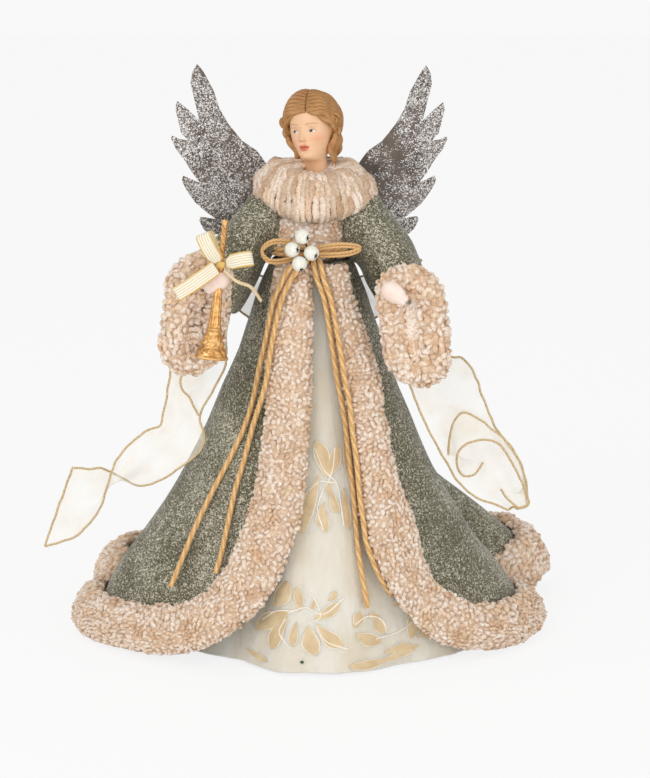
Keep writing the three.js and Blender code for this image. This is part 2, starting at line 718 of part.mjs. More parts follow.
function cuffAxes(arm) {
  const facing = point(Math.sin(arm.facing), -Math.cos(arm.facing), 0);
  const across = point(Math.cos(arm.facing), Math.sin(arm.facing), 0);
  const up = point(arm.lean, 0, 1).normalize();
  return { facing, across, up };
}

function sleeveSections(arm) {
  const { facing, across, up } = cuffAxes(arm);
  const sections = sleeveShares.map(([x, y, z, halfDepth, halfHeight, lean, swing]) => ({
    centre: ofShoulder([arm.side * x, y, z]),
    deep: point(arm.side * swing, 1, 0).setLength(halfDepth * shoulderHeight),
    tall: point(-arm.side * lean, 0, -halfHeight).multiplyScalar(-shoulderHeight),
  }));
  const mouth = {
    centre: arm.cuff.clone().addScaledVector(facing, -(cuffRollDepth + 2 * gap)),
    deep: across.clone().multiplyScalar(arm.side * cuffLoopHalfWidth),
    tall: up.clone().multiplyScalar(cuffHeight * 0.42),
  };
  const elbow = sections[sections.length - 1];
  const between = {
    centre: elbow.centre.clone().lerp(mouth.centre, 0.62).addScaledVector(up, cuffHeight * 0.02),
    deep: elbow.deep.clone().lerp(mouth.deep, 0.5).setLength(cuffLoopHalfWidth * 0.8),
    tall: elbow.tall.clone().lerp(mouth.tall, 0.6),
  };
  return [...sections, between, mouth];
}

function sleeveSurface(arm) {
  const sections = sleeveSections(arm);
  const read3 = (key, v) => point(...['x', 'y', 'z'].map((axis) =>
    read(sections.map((s, i) => [i / (sections.length - 1), s[key][axis]]), v)));
  return (u, v) => {
    const turn = -2 * Math.PI * u * arm.side;
    return read3('centre', v)
      .addScaledVector(read3('deep', v), Math.sin(turn))
      .addScaledVector(read3('tall', v), Math.cos(turn));
  };
}

function buildSleeve(name, arm) {
  const surface = sleeveSurface(arm);
  const [around, along] = sleeveDivisions;
  const cloth = sheet(surface, evenly(around), evenly(along), constant(-sleeveThickness), constant(0), true);
  const fitted = solidOf(cloth).subtract(solidOf(cuffGeometry(arm, gap)));
  add(`sleeve_${name}`, geometryOf(largest(fitted)), felt);
}

// The cuff is a roll that runs round a tall, nearly closed loop.
function cuffGeometry(arm, clearance) {
  const { facing, across, up } = cuffAxes(arm);
  const straight = cuffHeight / 2 - cuffRollRadius - cuffLoopHalfWidth;
  const rings = Array.from({ length: 24 }, (_, i) => {
    const turn = (2 * Math.PI * (i + 0.5)) / 24;
    const outward = across.clone().multiplyScalar(Math.cos(turn)).addScaledVector(up, Math.sin(turn));
    const centre = arm.cuff.clone()
      .addScaledVector(outward, cuffLoopHalfWidth)
      .addScaledVector(up, Math.sign(Math.sin(turn)) * straight);
    return ellipseRing(
      centre,
      outward.clone().multiplyScalar(cuffRollRadius + clearance),
      facing.clone().multiplyScalar(cuffRollDepth + clearance),
      8,
    );
  });
  return loft(rings, true);
}

// The hand leaves the upper end of the cuff's slit and reaches towards the middle.
const slitLift = cuffHeight * 0.2;

function handReach(arm) {
  const { across, up } = cuffAxes(arm);
  return across.clone().multiplyScalar(-arm.side * 0.8).addScaledVector(up, 0.6).normalize();
}

// A mitten-shaped hand that lies across the front of its cuff.
const handShares = [[0, 0.5], [0.16, 0.6], [0.38, 0.9], [0.65, 1], [0.86, 0.82], [1, 0.36]];

function wristPlace(arm) {
  const { facing, up } = cuffAxes(arm);
  const forward = cuffRollDepth + gap + handThickness / 2;
  return arm.cuff.clone().addScaledVector(facing, forward).addScaledVector(up, slitLift);
}

function handGeometry(arm) {
  const { facing } = cuffAxes(arm);
  const reach = handReach(arm);
  const wide = reach.clone().cross(facing).normalize();
  const rings = handShares.map(([along, swell]) => {
    const centre = wristPlace(arm).addScaledVector(reach, along * handLength);
    return ellipseRing(
      centre,
      wide.clone().multiplyScalar((swell * handWidth) / 2),
      facing.clone().multiplyScalar((swell * handThickness) / 2),
      12,
    );
  });
  return loft(rings);
}

const wireRise = 1;

function buildArmWire(name, arm) {
  const pivot = ofShoulder([arm.side * shoulderShares[0], shoulderShares[1], shoulderShares[2]]);
  const start = point(arm.side * (torsoHalfWidth * bodiceInnerShare + gap), 0, pivot.z + wireRise);
  const { facing, up } = cuffAxes(arm);
  const sections = sleeveSections(arm);
  const rises = [0.3, 0.1, 0.1, 0.25];
  const inSleeve = rises.map((share, i) => sections[i].centre.clone().addScaledVector(sections[i].tall, share));
  const through = [-1, 0, 1].map((share) =>
    arm.cuff.clone().addScaledVector(facing, share * cuffRollDepth).addScaledVector(up, slitLift));
  add(`arm_wire_${name}`, tube([start, pivot, ...inSleeve, ...through], wireDiameter, 14, 6), steelWire);
}

// Trumpet: [radius share of the bell, place share from the mouth], outside then inside.
const trumpetProfileShares = [
  [1, 0], [0.93, 0.015], [0.7, 0.07], [0.52, 0.15], [0.36, 0.22], [0.27, 0.4], [0.2, 0.55],
  [0.175, 0.7], [0.175, 0.97], [0.23, 0.985], [0.23, 1],
];
const bellDepthShare = 0.17;

// The left hand holds the trumpet at this share of its length from the mouth.
const trumpetGripShare = 0.5339;
const gripShares = { along: 0.4366, forward: 0.8145 };
const trumpetLean = point(0.1087, 0.087, 1).normalize();
const trumpetGrip = wristPlace(arms.left)
  .addScaledVector(handReach(arms.left), gripShares.along * handLength)
  .addScaledVector(cuffAxes(arms.left).facing, gripShares.forward * handThickness);
const trumpetMouth = trumpetGrip.clone().addScaledVector(trumpetLean, -trumpetGripShare * trumpetLength);

function trumpetGeometry(clearance) {
  const radius = (share) => share * trumpetBellRadius + clearance;
  const outer = trumpetProfileShares.map(([r, z]) => [radius(r), z * trumpetLength]);
  const hollow = clearance ? [] : [[2, 0.7], [1, 0.07], [0, 0]].map(([, z]) => {
    const share = read(trumpetProfileShares.map(([r, at]) => [at, r]), z);
    return [share * trumpetBellRadius - trumpetWall, z * trumpetLength];
  });
  const innerRows = clearance ? [] : [
    [0, bellDepthShare * trumpetLength],
    [trumpetBellRadius * 0.4, bellDepthShare * trumpetLength * 0.82],
    ...hollow.slice(1),
  ];
  const profile = [...outer, [0, trumpetLength], ...(clearance ? [[0, 0]] : innerRows), outer[0]];
  return turned(profile, 18);
}

function placeTrumpet(geometry) {
  geometry.applyQuaternion(new THREE.Quaternion().setFromUnitVectors(point(0, 0, 1), trumpetLean));
  geometry.translate(trumpetMouth.x, trumpetMouth.y, trumpetMouth.z);
  return geometry;
}

function buildArms() {
  for (const [name, arm] of Object.entries(arms)) {
    buildArmWire(name, arm);
    buildSleeve(name, arm);
    add(`cuff_${name}`, cuffGeometry(arm, 0), yarn);
  }
  const grip = solidOf(placeTrumpet(trumpetGeometry(gap)));
  add('hand_left', geometryOf(solidOf(handGeometry(arms.left)).subtract(grip)), skin);
  add('hand_right', handGeometry(arms.right), skin);
  add('trumpet', geometryOf(solidOf(placeTrumpet(trumpetGeometry(0)))), gold);
}

// Wings: the left wing's outline, as shares of its reach and rise from the root.
const wingShares = [
  [0.13, 0.1], [0.22, 0.38], [0.35, 0.4], [0.44, 0.49], [0.56, 0.55], [0.67, 0.65], [0.74, 0.74],
  [0.78, 0.84], [0.86, 0.95], [0.91, 1], [0.95, 0.95], [0.965, 0.89], [0.945, 0.82], [0.92, 0.735],
  [0.9, 0.67], [0.98, 0.73], [1.07, 0.785], [1.09, 0.75], [1.07, 0.68], [1.045, 0.6], [0.99, 0.555],
  [1.06, 0.565], [1.115, 0.585], [1.125, 0.57], [1.09, 0.51], [1.02, 0.44], [0.965, 0.37], [0.9, 0.305],
  [0.97, 0.33], [1.035, 0.35], [1.045, 0.32], [1.01, 0.265], [0.94, 0.19], [0.865, 0.14], [0.775, 0.09],
  [0.84, 0.1], [0.9, 0.105], [0.91, 0.08], [0.875, 0.03], [0.83, 0], [0.6, 0.0], [0.4, 0.02], [0.2, 0.05],
];
const wingYaw = { left: 0, right: degrees(19) };
const wingDrop = { left: 0, right: degrees(2.5) };
const bracketHalfWidth = 10;
const bracketHeight = 16;
const bracketThickness = 1.5;
const bracketRiseShare = 0.512;
const bodiceBack = (torsoHalfDepth * bodiceInnerShare + gap) * 1.06 + bodiceThickness;

function buildWings() {
  const bracket = new THREE.BoxGeometry(2 * bracketHalfWidth, bracketThickness, bracketHeight);
  const bracketMiddle = waistHeight + bracketRiseShare * torsoHeight;
  bracket.translate(0, bodiceBack + 2 * gap + bracketThickness / 2, bracketMiddle);
  add('wing_bracket', bracket, steelWire);
  const bracketBack = bodiceBack + 2 * gap + bracketThickness;
  for (const [name, side] of [['left', -1], ['right', 1]]) {
    const place = (geometry) => {
      geometry.rotateY(side * wingDrop[name]);
      geometry.rotateZ(side * wingYaw[name]);
      return geometry.translate(side * wingHingeOffset, wingPlane, wingRootHeight);
    };
    const outline = wingShares.map(([x, z]) =>
      new THREE.Vector2(side * (x * wingReach - wingHingeOffset), z * wingRise));
    const wing = new THREE.ExtrudeGeometry(new THREE.Shape(outline), { depth: wingThickness, bevelEnabled: false });
    wing.rotateX(Math.PI / 2);
    wing.translate(0, wingThickness / 2, 0);
    add(`wing_${name}`, place(wing), wingSheet);
    const front = -wingThickness / 2 - gap - wireDiameter / 2;
    const foot = bracketBack + gap + wireDiameter / 2 - wingPlane;
    const rise = bracketMiddle - wingRootHeight;
    const out = (share) => side * share * wingReach;
    const fixed = (x, y) => point(x, y, rise).applyAxisAngle(point(0, 0, 1), -side * wingYaw[name]);
    const route = [
      fixed(0, foot),
      fixed(out(0.025), foot * 0.8 + front * 0.2),
      point(out(0.09), front - wireDiameter / 4, 0.124 * wingRise),
      point(out(0.205), front, 0.182 * wingRise),
    ];
    add(`wing_wire_${name}`, place(tube(route, wireDiameter, 8, 6)), steelWire);
  }
}

// The ribbon tied round the trumpet. Routes run from its knot, as shares of the ribbon's width.
const ribbonKnotShare = 0.68;
const ribbonRoutes = {
  ribbon_loop_up: {
    across: point(1, 0.1, 0.35),
    widthShare: 1,
    shares: [[-0.2, -0.44, 0.2], [-0.75, -0.85, 1.2], [-1.1, -0.75, 2.0], [-0.9, -0.4, 2.05], [-0.4, -0.42, 0.6]],
  },
  ribbon_loop_side: {
    across: point(-0.2, 0.2, 1),
    widthShare: 1,
    shares: [
      [0.36, -0.26, 0.1], [1.2, -0.7, 0.4], [2.0, -0.6, 0.5], [2.05, -0.25, 0.4], [1.1, -0.16, 0.25], [0.46, 0.04, 0.1],
    ],
  },
  ribbon_tail: {
    across: point(0.55, 0, 0.8),
    widthShare: 1,
    shares: [[-0.39, -0.37, -0.24], [-1.3, -0.7, -0.9], [-2.1, -0.6, -1.6], [-2.9, -0.75, -2.4]],
  },
  ribbon_tail_side: {
    across: point(0.5, 0.3, 0.8),
    widthShare: 0.14,
    shares: [[0.22, -0.3, -0.36], [1.05, -0.52, -1.05], [2.0, -0.3, -1.5], [2.7, -0.1, -2.5]],
  },
};

function buildRibbon() {
  const tubeRadius = trumpetBellRadius * 0.175;
  const [inner, outer] = [tubeRadius + gap, tubeRadius + gap + 2 * ribbonThickness];
  const middleHeight = ribbonKnotShare * trumpetLength;
  const half = ribbonWidth / 4;
  const knot = turned(
    [
      [inner, middleHeight - half], [inner, middleHeight + half], [outer, middleHeight + half],
      [outer, middleHeight - half], [inner, middleHeight - half],
    ].reverse(),
    12,
  );
  add('ribbon_knot', placeTrumpet(knot), ribbonCloth);
  const knotMiddle = trumpetMouth.clone().addScaledVector(trumpetLean, middleHeight);
  for (const [name, { across, widthShare, shares }] of Object.entries(ribbonRoutes)) {
    const route = new THREE.CatmullRomCurve3(shares.map((share) =>
      point(...share).multiplyScalar(ribbonWidth).add(knotMiddle)));
    const wide = across.clone().normalize().multiplyScalar(ribbonWidth * widthShare);
    const surface = (u, v) => route.getPoint(u).addScaledVector(wide, v - 0.5);
    const strip = sheet(surface, evenly(8), [0, 1], constant(0), constant(ribbonThickness));
    add(name, strip, ribbonCloth);
  }
}

// The organza stole: a swag behind the back, a saddle over each forearm, and a panel
// that hangs from it. Panel rows: the inner and the outer edge, sideways and in depth as shares
// of the hem's half width, in height as shares of the waist's height.
const stolePanelShares = {
  left: [
    [-0.384, -0.185, 0.868, -0.318, -0.105, 0.922], [-0.384, -0.156, 0.818, -0.474, -0.047, 0.855],
    [-0.427, -0.163, 0.745, -0.624, -0.072, 0.75], [-0.474, -0.174, 0.665, -0.642, -0.09, 0.66],
    [-0.498, -0.188, 0.58, -0.651, -0.109, 0.585], [-0.534, -0.188, 0.515, -0.733, -0.136, 0.565],
    [-0.612, -0.188, 0.462, -0.854, -0.159, 0.495], [-0.742, -0.199, 0.39, -0.986, -0.172, 0.465],
    [-0.923, -0.213, 0.325, -1.158, -0.185, 0.458], [-1.185, -0.224, 0.23, -1.176, -0.213, 0.29],
  ],
  right: [
    [0.376, -0.185, 0.862, 0.318, -0.105, 0.918], [0.38, -0.156, 0.81, 0.47, -0.047, 0.85],
    [0.416, -0.163, 0.745, 0.615, -0.072, 0.765], [0.474, -0.181, 0.67, 0.724, -0.109, 0.715],
    [0.552, -0.199, 0.575, 0.796, -0.13, 0.655], [0.619, -0.203, 0.502, 0.865, -0.145, 0.565],
    [0.711, -0.217, 0.436, 0.973, -0.159, 0.472], [0.841, -0.221, 0.378, 0.995, -0.17, 0.37],
    [0.934, -0.221, 0.312, 1.006, -0.185, 0.352],
  ],
};
const stoleFoldShare = 0.025;
const stoleReach = point(hemHalfWidth, hemHalfWidth, waistHeight);

function stoleSurface(rows) {
  const edge = (first, v) => point(...[0, 1, 2].map((i) => column(rows, first + i, v))).multiply(stoleReach);
  return (u, v) => {
    const fold = Math.sin(3.5 * Math.PI * u) * Math.sin(Math.PI * Math.min(0.9, v * v));
    return edge(0, v).lerp(edge(3, v), u).add(point(0, fold * stoleFoldShare * hemHalfWidth, 0));
  };
}

// The swag's middle sections from left to right: lower edge then upper edge.
const stoleSwagShares = [
  [-0.317, 0.172, 0.83, -0.344, 0.154, 0.965], [-0.154, 0.311, 0.79, -0.163, 0.251, 0.91],
  [0, 0.338, 0.775, 0, 0.271, 0.895],
  [0.154, 0.311, 0.79, 0.163, 0.251, 0.91], [0.317, 0.172, 0.83, 0.344, 0.154, 0.965],
];

const stoleEndDrop = 14;
const stoleEndBack = 8.5;
const stoleRow = (...edges) => edges.flatMap((p) => p.clone().divide(stoleReach).toArray());

function buildStole() {
  const thick = [constant(0), constant(stoleThickness)];
  const swagEnds = {};
  for (const [name, arm] of Object.entries(arms)) {
    const sleeve = sleeveSurface(arm);
    const [around, along] = sleeveDivisions;
    const saddle = (u, v) => sleeve(arm.side * (0.625 * u - 0.25), (3 + v) / along);
    const [near, far] = [3 * gap, 3 * gap + stoleThickness].map((away) => constant(arm.side * away));
    const over = sheet(saddle, evenly(0.625 * around), [0, 1], near, far);
    const under = sheet(sleeve, evenly(around), evenly(along), constant(-sleeveThickness), constant(gap), true);
    add(`stole_saddle_${name}`, geometryOf(largest(solidOf(over).subtract(solidOf(under)))), organza);
    const clear = arm.side * (5 * gap + stoleThickness);
    const hung = [0.5, 0].map((v) => saddle(1, v).addScaledVector(surfaceNormal(saddle, 1, v), clear));
    const panel = stoleSurface([stoleRow(...hung), ...stolePanelShares[name]]);
    const panelSides = arm.side < 0 ? thick : [constant(-stoleThickness), constant(0)];
    add(`stole_panel_${name}`, sheet(panel, evenly(12), evenly(13), ...panelSides), organza);
    const behind = saddle(0, 0).add(point(0, stoleEndBack, 0));
    const lower = behind.clone().add(point(-arm.side * 0.4, 0.3, -1).multiplyScalar(stoleEndDrop));
    swagEnds[name] = stoleRow(lower, behind);
  }
  const swag = stoleSurface([swagEnds.left, ...stoleSwagShares, swagEnds.right]);
  add('stole_back', sheet(swag, evenly(6), evenly(16), ...thick), organza);
}

buildCone();
buildUnderskirts();
buildCoat();
buildTrims();
buildTorso();
buildBodice();
buildCollar();
buildHead();
buildBelt();
buildBowLoops();
buildTails();
buildBerries();
buildArms();
buildWings();
buildRibbon();
buildStole();

export default topper;
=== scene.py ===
# %% [markdown]
# # An angel tree topper
# The real thing stands 0.4 m tall on a cardboard cone that slips over the tip of a tree. A doll's
# head of painted resin looks out over a collar of looped yarn, and felt, satin and organza hide the
# cone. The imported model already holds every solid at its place. Here each one gets the surface that
# the eye expects: yarn with loops, felt with glitter, cloth with slack in it.

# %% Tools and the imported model
import math
import random

import bmesh
import bpy
import numpy as np
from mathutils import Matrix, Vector, noise
from mathutils.bvhtree import BVHTree


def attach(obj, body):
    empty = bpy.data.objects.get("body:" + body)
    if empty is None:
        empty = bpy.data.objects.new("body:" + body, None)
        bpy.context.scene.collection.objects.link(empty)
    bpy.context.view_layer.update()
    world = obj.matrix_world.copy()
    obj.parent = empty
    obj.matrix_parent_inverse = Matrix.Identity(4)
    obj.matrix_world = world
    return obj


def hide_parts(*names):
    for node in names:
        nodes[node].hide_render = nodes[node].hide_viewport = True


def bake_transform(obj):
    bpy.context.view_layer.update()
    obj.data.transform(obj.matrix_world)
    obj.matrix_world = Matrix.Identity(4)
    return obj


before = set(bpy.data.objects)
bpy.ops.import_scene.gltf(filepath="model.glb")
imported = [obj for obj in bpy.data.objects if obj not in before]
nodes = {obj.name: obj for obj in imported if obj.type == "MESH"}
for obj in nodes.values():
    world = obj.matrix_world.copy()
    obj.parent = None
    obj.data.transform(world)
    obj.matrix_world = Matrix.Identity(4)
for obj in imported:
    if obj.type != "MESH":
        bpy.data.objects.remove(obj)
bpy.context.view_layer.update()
mm = 0.001
# the vector noise would start from the clock: this seed keeps the folds of one good run
noise.seed_set(1795884867)
print("solids", len(nodes))

# %% [markdown]
# ## Camera
# The picture was taken from a little above, with a long lens that keeps the skirt's width true.
# Everything after this is judged through this camera, so it comes first.

# %% Camera
camera_data = bpy.data.cameras.new("Camera")
camera = bpy.data.objects.new("Camera", camera_data)
bpy.context.scene.collection.objects.link(camera)
camera.location = (0.00919, -1.55899, 0.53984)
camera.rotation_euler = (math.radians(90 - 13), 0, 0)
camera_data.lens = 104.68
camera_data.sensor_width = 36
camera_data.clip_end = 20
bpy.context.scene.camera = camera
print("camera", tuple(camera.location), "lens", camera_data.lens)

# %% [markdown]
# ## A skin over a grid of points
# Cords, ribbons, petals and locks of hair are all rows of points joined by four-sided faces. One
# helper makes that skin. It also lays the faces out flat, as a UV map, so that a fibre or a stripe
# can follow the piece wherever it bends.

# %% Skin over a grid
def only(piece):
    bpy.ops.object.select_all(action="DESELECT")
    piece.select_set(True)
    bpy.context.view_layer.objects.active = piece


def link(name, mesh):
    piece = bpy.data.objects.new(name, mesh)
    bpy.context.scene.collection.objects.link(piece)
    return piece


def outward(piece):
    shape = bmesh.new()
    shape.from_mesh(piece.data)
    bmesh.ops.recalc_face_normals(shape, faces=shape.faces)
    shape.to_mesh(piece.data)
    shape.free()
    piece.data.shade_smooth()


def closed_mesh(name, verts, faces):
    mesh = bpy.data.meshes.new(name)
    mesh.from_pydata(verts, [], faces)
    piece = link(name, mesh)
    outward(piece)
    return piece


def grid_faces(rows, columns, wrap):
    spans = columns if wrap else columns - 1
    i, j = [a.ravel() for a in np.meshgrid(np.arange(rows - 1), np.arange(spans), indexing="ij")]
    after = (j + 1) % columns
    corners = [i * columns + j, i * columns + after, (i + 1) * columns + after, (i + 1) * columns + j]
    flat = [(j, i), (j + 1, i), (j + 1, i + 1), (j, i + 1)]
    uv = np.stack([np.stack([u / spans, v / (rows - 1)], axis=1) for u, v in flat], axis=1)
    return np.stack(corners, axis=1), uv


def skin(name, grid, wrap=False, caps=False):
    rows, columns = grid.shape[:2]
    quads, uv = grid_faces(rows, columns, wrap)
    faces = quads.tolist()
    if caps:
        faces += [list(range(columns)), list(range((rows - 1) * columns, rows * columns))]
    mesh = bpy.data.meshes.new(name)
    mesh.from_pydata(grid.reshape(-1, 3).tolist(), [], faces)
    layout = mesh.uv_layers.new(name="UVMap")
    flat = np.zeros((len(mesh.loops), 2), dtype=np.float32)
    flat[: uv.shape[0] * 4] = uv.reshape(-1, 2)
    layout.data.foreach_set("uv", flat.ravel())
    piece = link(name, mesh)
    if wrap:
        outward(piece)
    mesh.shade_smooth()
    return piece


print("ready to lay skins")

# %% [markdown]
# ## Routes and cords
# A cord is a ring of points carried along a route. The route comes from a few given points with
# a smooth curve through them. The ring must not spin as it travels, so each step turns the last
# ring's side direction only as far as the route itself turns.

# %% Routes and swept rings
def sampled(points, at, run=None):
    """Reads a row of points at these places: indices, or lengths where run is given."""
    run = np.arange(len(points)) if run is None else run
    return np.stack([np.interp(at, run, points[:, k]) for k in range(points.shape[1])], axis=1)


def smooth_route(points, step):
    p = np.array(points, float)
    p = np.vstack([2 * p[0] - p[1], p, 2 * p[-1] - p[-2]])
    out = []
    for a, b, c, d in zip(p, p[1:], p[2:], p[3:]):
        for t in np.linspace(0, 1, 12, endpoint=False):
            bend = (2 * a - 5 * b + 4 * c - d) * t**2 + (3 * b - a - 3 * c + d) * t**3
            out.append(0.5 * (2 * b + (c - a) * t + bend))
    out = np.array([*out, p[-2]])
    run = np.concatenate([[0], np.cumsum(np.linalg.norm(np.diff(out, axis=0), axis=1))])
    return sampled(out, np.linspace(0, run[-1], max(2, round(run[-1] / step)) + 1), run)


def full_circle(count):
    return np.linspace(0, 2 * math.pi, count, endpoint=False)


# no route here starts along this direction, so the first ring always finds a side
off_route = (0.3, 1, 0.2)


def carried_sides(route):
    ahead = np.gradient(route, axis=0)
    ahead /= np.linalg.norm(ahead, axis=1)[:, None]
    side = np.cross(ahead[0], off_route)
    sides = []
    for direction in ahead:
        side = side - direction * np.dot(side, direction)
        side = side / np.linalg.norm(side)
        sides.append(side)
    sides = np.array(sides)
    return sides, np.cross(ahead, sides)


def ring_grid(route, radii, flat=1.0):
    sides, ups = carried_sides(route)
    turns = full_circle(radii.shape[1])
    across = (radii * np.cos(turns))[:, :, None] * sides[:, None, :]
    high = (radii * np.sin(turns) * flat)[:, :, None] * ups[:, None, :]
    return route[:, None, :] + across + high


def length_of(route):
    return float(np.linalg.norm(np.diff(route, axis=0), axis=1).sum())


print("ready to sweep cords")

# %% [markdown]
# ## Twine
# Garden twine is two or three strands of jute, twisted. A ring with three lobes that turns as it
# moves along the route gives that twist as real shape, so it also shows in the outline. Stray fibres
# are thin slivers that leave the cord at random.

# %% The four loose tails
twine_width = 3.5 * mm
tail_routes = {
    "left_outer": [
        (-6.6, -35, 277.8), (-11.4, -41, 276.4), (-17, -42, 270.5), (-22, -42.2, 260), (-26.2, -42, 250),
        (-31.6, -43.2, 224), (-36, -42.4, 205), (-40, -41.6, 184), (-46, -42.4, 164), (-56, -43, 142),
        (-67.3, -44.8, 120.5), (-76, -47, 103), (-83, -50, 88), (-90.4, -54.4, 70.5), (-98, -59, 52.5),
    ],
    "left_inner": [
        (-2.7, -35.2, 277.4), (-6.4, -40.6, 275.6), (-12, -43, 269.5), (-17, -43.6, 260.5),
        (-21, -44.6, 250.5), (-26.8, -47, 224.8), (-31.2, -50, 197), (-35.5, -49, 181),
        (-40.4, -47.6, 165), (-46, -49.2, 143), (-53, -55.4, 120), (-57.4, -61.2, 100),
        (-62, -68.6, 80), (-66, -73.6, 67),
    ],
    "right_inner": [
        (1.3, -35, 277.4), (1.8, -39.2, 274.6), (3.8, -40.6, 266), (9, -41.6, 251), (13.6, -43.6, 223),
        (17.6, -45.2, 197), (20.6, -46.8, 181), (23.4, -48.4, 164), (25.6, -51.4, 145), (28.6, -57.2, 120),
        (30.6, -64, 98), (32.4, -71, 80), (35.4, -76.8, 62), (38.4, -81.4, 45),
    ],
    "right_outer": [
        (5.2, -34.2, 278), (6.6, -40.4, 275), (8.6, -42.4, 266), (13.6, -44.6, 251), (18.6, -47.6, 224),
        (23, -50.4, 197), (26, -53.2, 182.4), (28, -57.4, 163), (30.6, -61.8, 145), (33, -67.4, 120),
        (35, -71.4, 106), (37.4, -73, 90), (42.4, -74.8, 75), (49, -75, 61), (55, -70.6, 50),
    ],
}


def twisted_twine(name, route, width=twine_width, lobes=3, pitch=9 * mm, start=0.0):
    groove, ridge = 0.72, 0.42
    run = np.linspace(0, length_of(route), len(route))
    turns = full_circle(15)
    lobe = np.abs(np.cos((lobes * (turns[None, :] - run[:, None] * 2 * math.pi / pitch) + start) / 2))
    return skin(name, ring_grid(route, width / 2 * (groove + ridge * lobe)), wrap=True, caps=True)


def stray_fibres(name, route, count, seed):
    fibre_length, root_depth, half_thickness = 4 * mm, 0.3 * mm, 0.11 * mm
    sliver = ((0, 1, 3), (1, 2, 3), (2, 0, 3), (0, 2, 1))
    dice = random.Random(seed)
    verts, faces = [], []
    for _ in range(count):
        i = dice.randrange(1, len(route) - 1)
        ahead = Vector(route[i + 1] - route[i - 1]).normalized() * dice.choice((-1, 1))
        away = ahead.cross(Vector([dice.uniform(-1, 1) for _ in range(3)])).normalized()
        foot = Vector(route[i]) + away * twine_width * 0.42
        tip = foot + (ahead * dice.uniform(0.6, 1.4) + away * dice.uniform(0.2, 0.6)) * fibre_length
        thick = ahead.cross(away) * half_thickness
        first = len(verts)
        verts += [foot + thick, foot - thick, foot - away * root_depth, tip]
        faces += [tuple(first + corner for corner in face) for face in sliver]
    return closed_mesh(name, verts, faces)


tails = {}
fibres = []
fibres_on_each = 150
for seed, (side, points) in enumerate(tail_routes.items()):
    route = smooth_route(np.array(points) * mm, 1.1 * mm)
    tail = twisted_twine(f"tail_{side}", route)
    fuzz = stray_fibres(f"tail_fibres_{side}", route, fibres_on_each, seed)
    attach(tail, "figure")
    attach(fuzz, "figure")
    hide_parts(f"twine_tail_{side}")
    tails[side] = tail
    fibres.append(fuzz)
    print(tail.name, "length", round(length_of(route), 3))

# %% [markdown]
# ## Finishes from nodes
# Every finish here is built from the same few blocks: a noise or a cell pattern read at the piece's
# own coordinates, a ramp that turns it into colours, and a bump. Small helpers keep each finish
# short enough to read in one look.

# %% Blocks for finishes
def tone(r, g, b):
    linear = [((c / 255 + 0.055) / 1.055) ** 2.4 if c > 10 else c / 255 / 12.92 for c in (r, g, b)]
    return (*linear, 1.0)


def block(material, kind, sockets=(), **settings):
    node = material.node_tree.nodes.new(kind)
    for key, value in settings.items():
        setattr(node, key, value)
    for socket, value in dict(sockets).items():
        if isinstance(value, bpy.types.NodeSocket):
            material.node_tree.links.new(value, node.inputs[socket])
        else:
            node.inputs[socket].default_value = value
    return node


def finish(name, **sockets):
    material = bpy.data.materials.new(name)
    material.use_nodes = True
    shader = material.node_tree.nodes["Principled BSDF"]
    for socket, value in sockets.items():
        shader.inputs[socket.replace("_", " ")].default_value = value
    return material, shader


def places(material, stretch=(1, 1, 1), source="Object"):
    coords = block(material, "ShaderNodeTexCoord").outputs[source]
    return block(material, "ShaderNodeMapping", {"Vector": coords, "Scale": stretch}).outputs["Vector"]


def cloud(material, at, scale, detail=3.0, roughness=0.55):
    sockets = {"Vector": at, "Scale": scale, "Detail": detail, "Roughness": roughness}
    return block(material, "ShaderNodeTexNoise", sockets).outputs["Fac"]


def cells(material, at, scale):
    return block(material, "ShaderNodeTexVoronoi", {"Vector": at, "Scale": scale}).outputs["Color"]


def split(material, vector):
    return block(material, "ShaderNodeSeparateXYZ", {"Vector": vector}).outputs


def ramp(material, factor, stops):
    node = block(material, "ShaderNodeValToRGB", {"Fac": factor})
    while len(node.color_ramp.elements) < len(stops):
        node.color_ramp.elements.new(0.5)
    for element, (place, colour) in zip(node.color_ramp.elements, stops):
        element.position = place
        element.color = colour
    return node.outputs["Color"]


def level(value):
    return (value, value, value, 1.0)


def mixed(material, factor, first, second, blend="MIX"):
    node = block(material, "ShaderNodeMix", data_type="RGBA", blend_type=blend)
    for index, value in ((0, factor), (6, first), (7, second)):
        if isinstance(value, bpy.types.NodeSocket):
            material.node_tree.links.new(value, node.inputs[index])
        else:
            node.inputs[index].default_value = value
    return node.outputs[2]


def maths(material, operation, first, second=0.5):
    return block(material, "ShaderNodeMath", {0: first, 1: second}, operation=operation).outputs[0]


def bumped(material, shader, height, strength, distance):
    sockets = {"Height": height, "Strength": strength, "Distance": distance}
    normal = block(material, "ShaderNodeBump", sockets).outputs["Normal"]
    material.node_tree.links.new(normal, shader.inputs["Normal"])


def feed(material, value, shader, socket="Base Color"):
    material.node_tree.links.new(value, shader.inputs[socket])


def grained_finish(name, scale, detail, stops, strength=0.0, depth=0.0, **sockets):
    """A finish whose colour follows one noise, and its bump too, if it has one."""
    material, shader = finish(name, **sockets)
    grain = cloud(material, places(material), scale, detail)
    feed(material, ramp(material, grain, stops), shader)
    if strength:
        bumped(material, shader, grain, strength, depth)
    return material


def wear(piece, material):
    piece.data.materials.clear()
    piece.data.materials.append(material)


def dress(piece, body, material, slot_name, *replaced):
    """The piece moves with this body, wears this finish and stands for the solids named last."""
    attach(piece, body)
    if replaced:
        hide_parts(*replaced)
    wear(piece, material)


print("blocks ready")

# %% [markdown]
# ## Jute
# Jute is pale gold with darker fibres that run along the strand. The UV map of the cord runs along
# it, so noise that is stretched that way draws the fibres, and they bend with the cord.

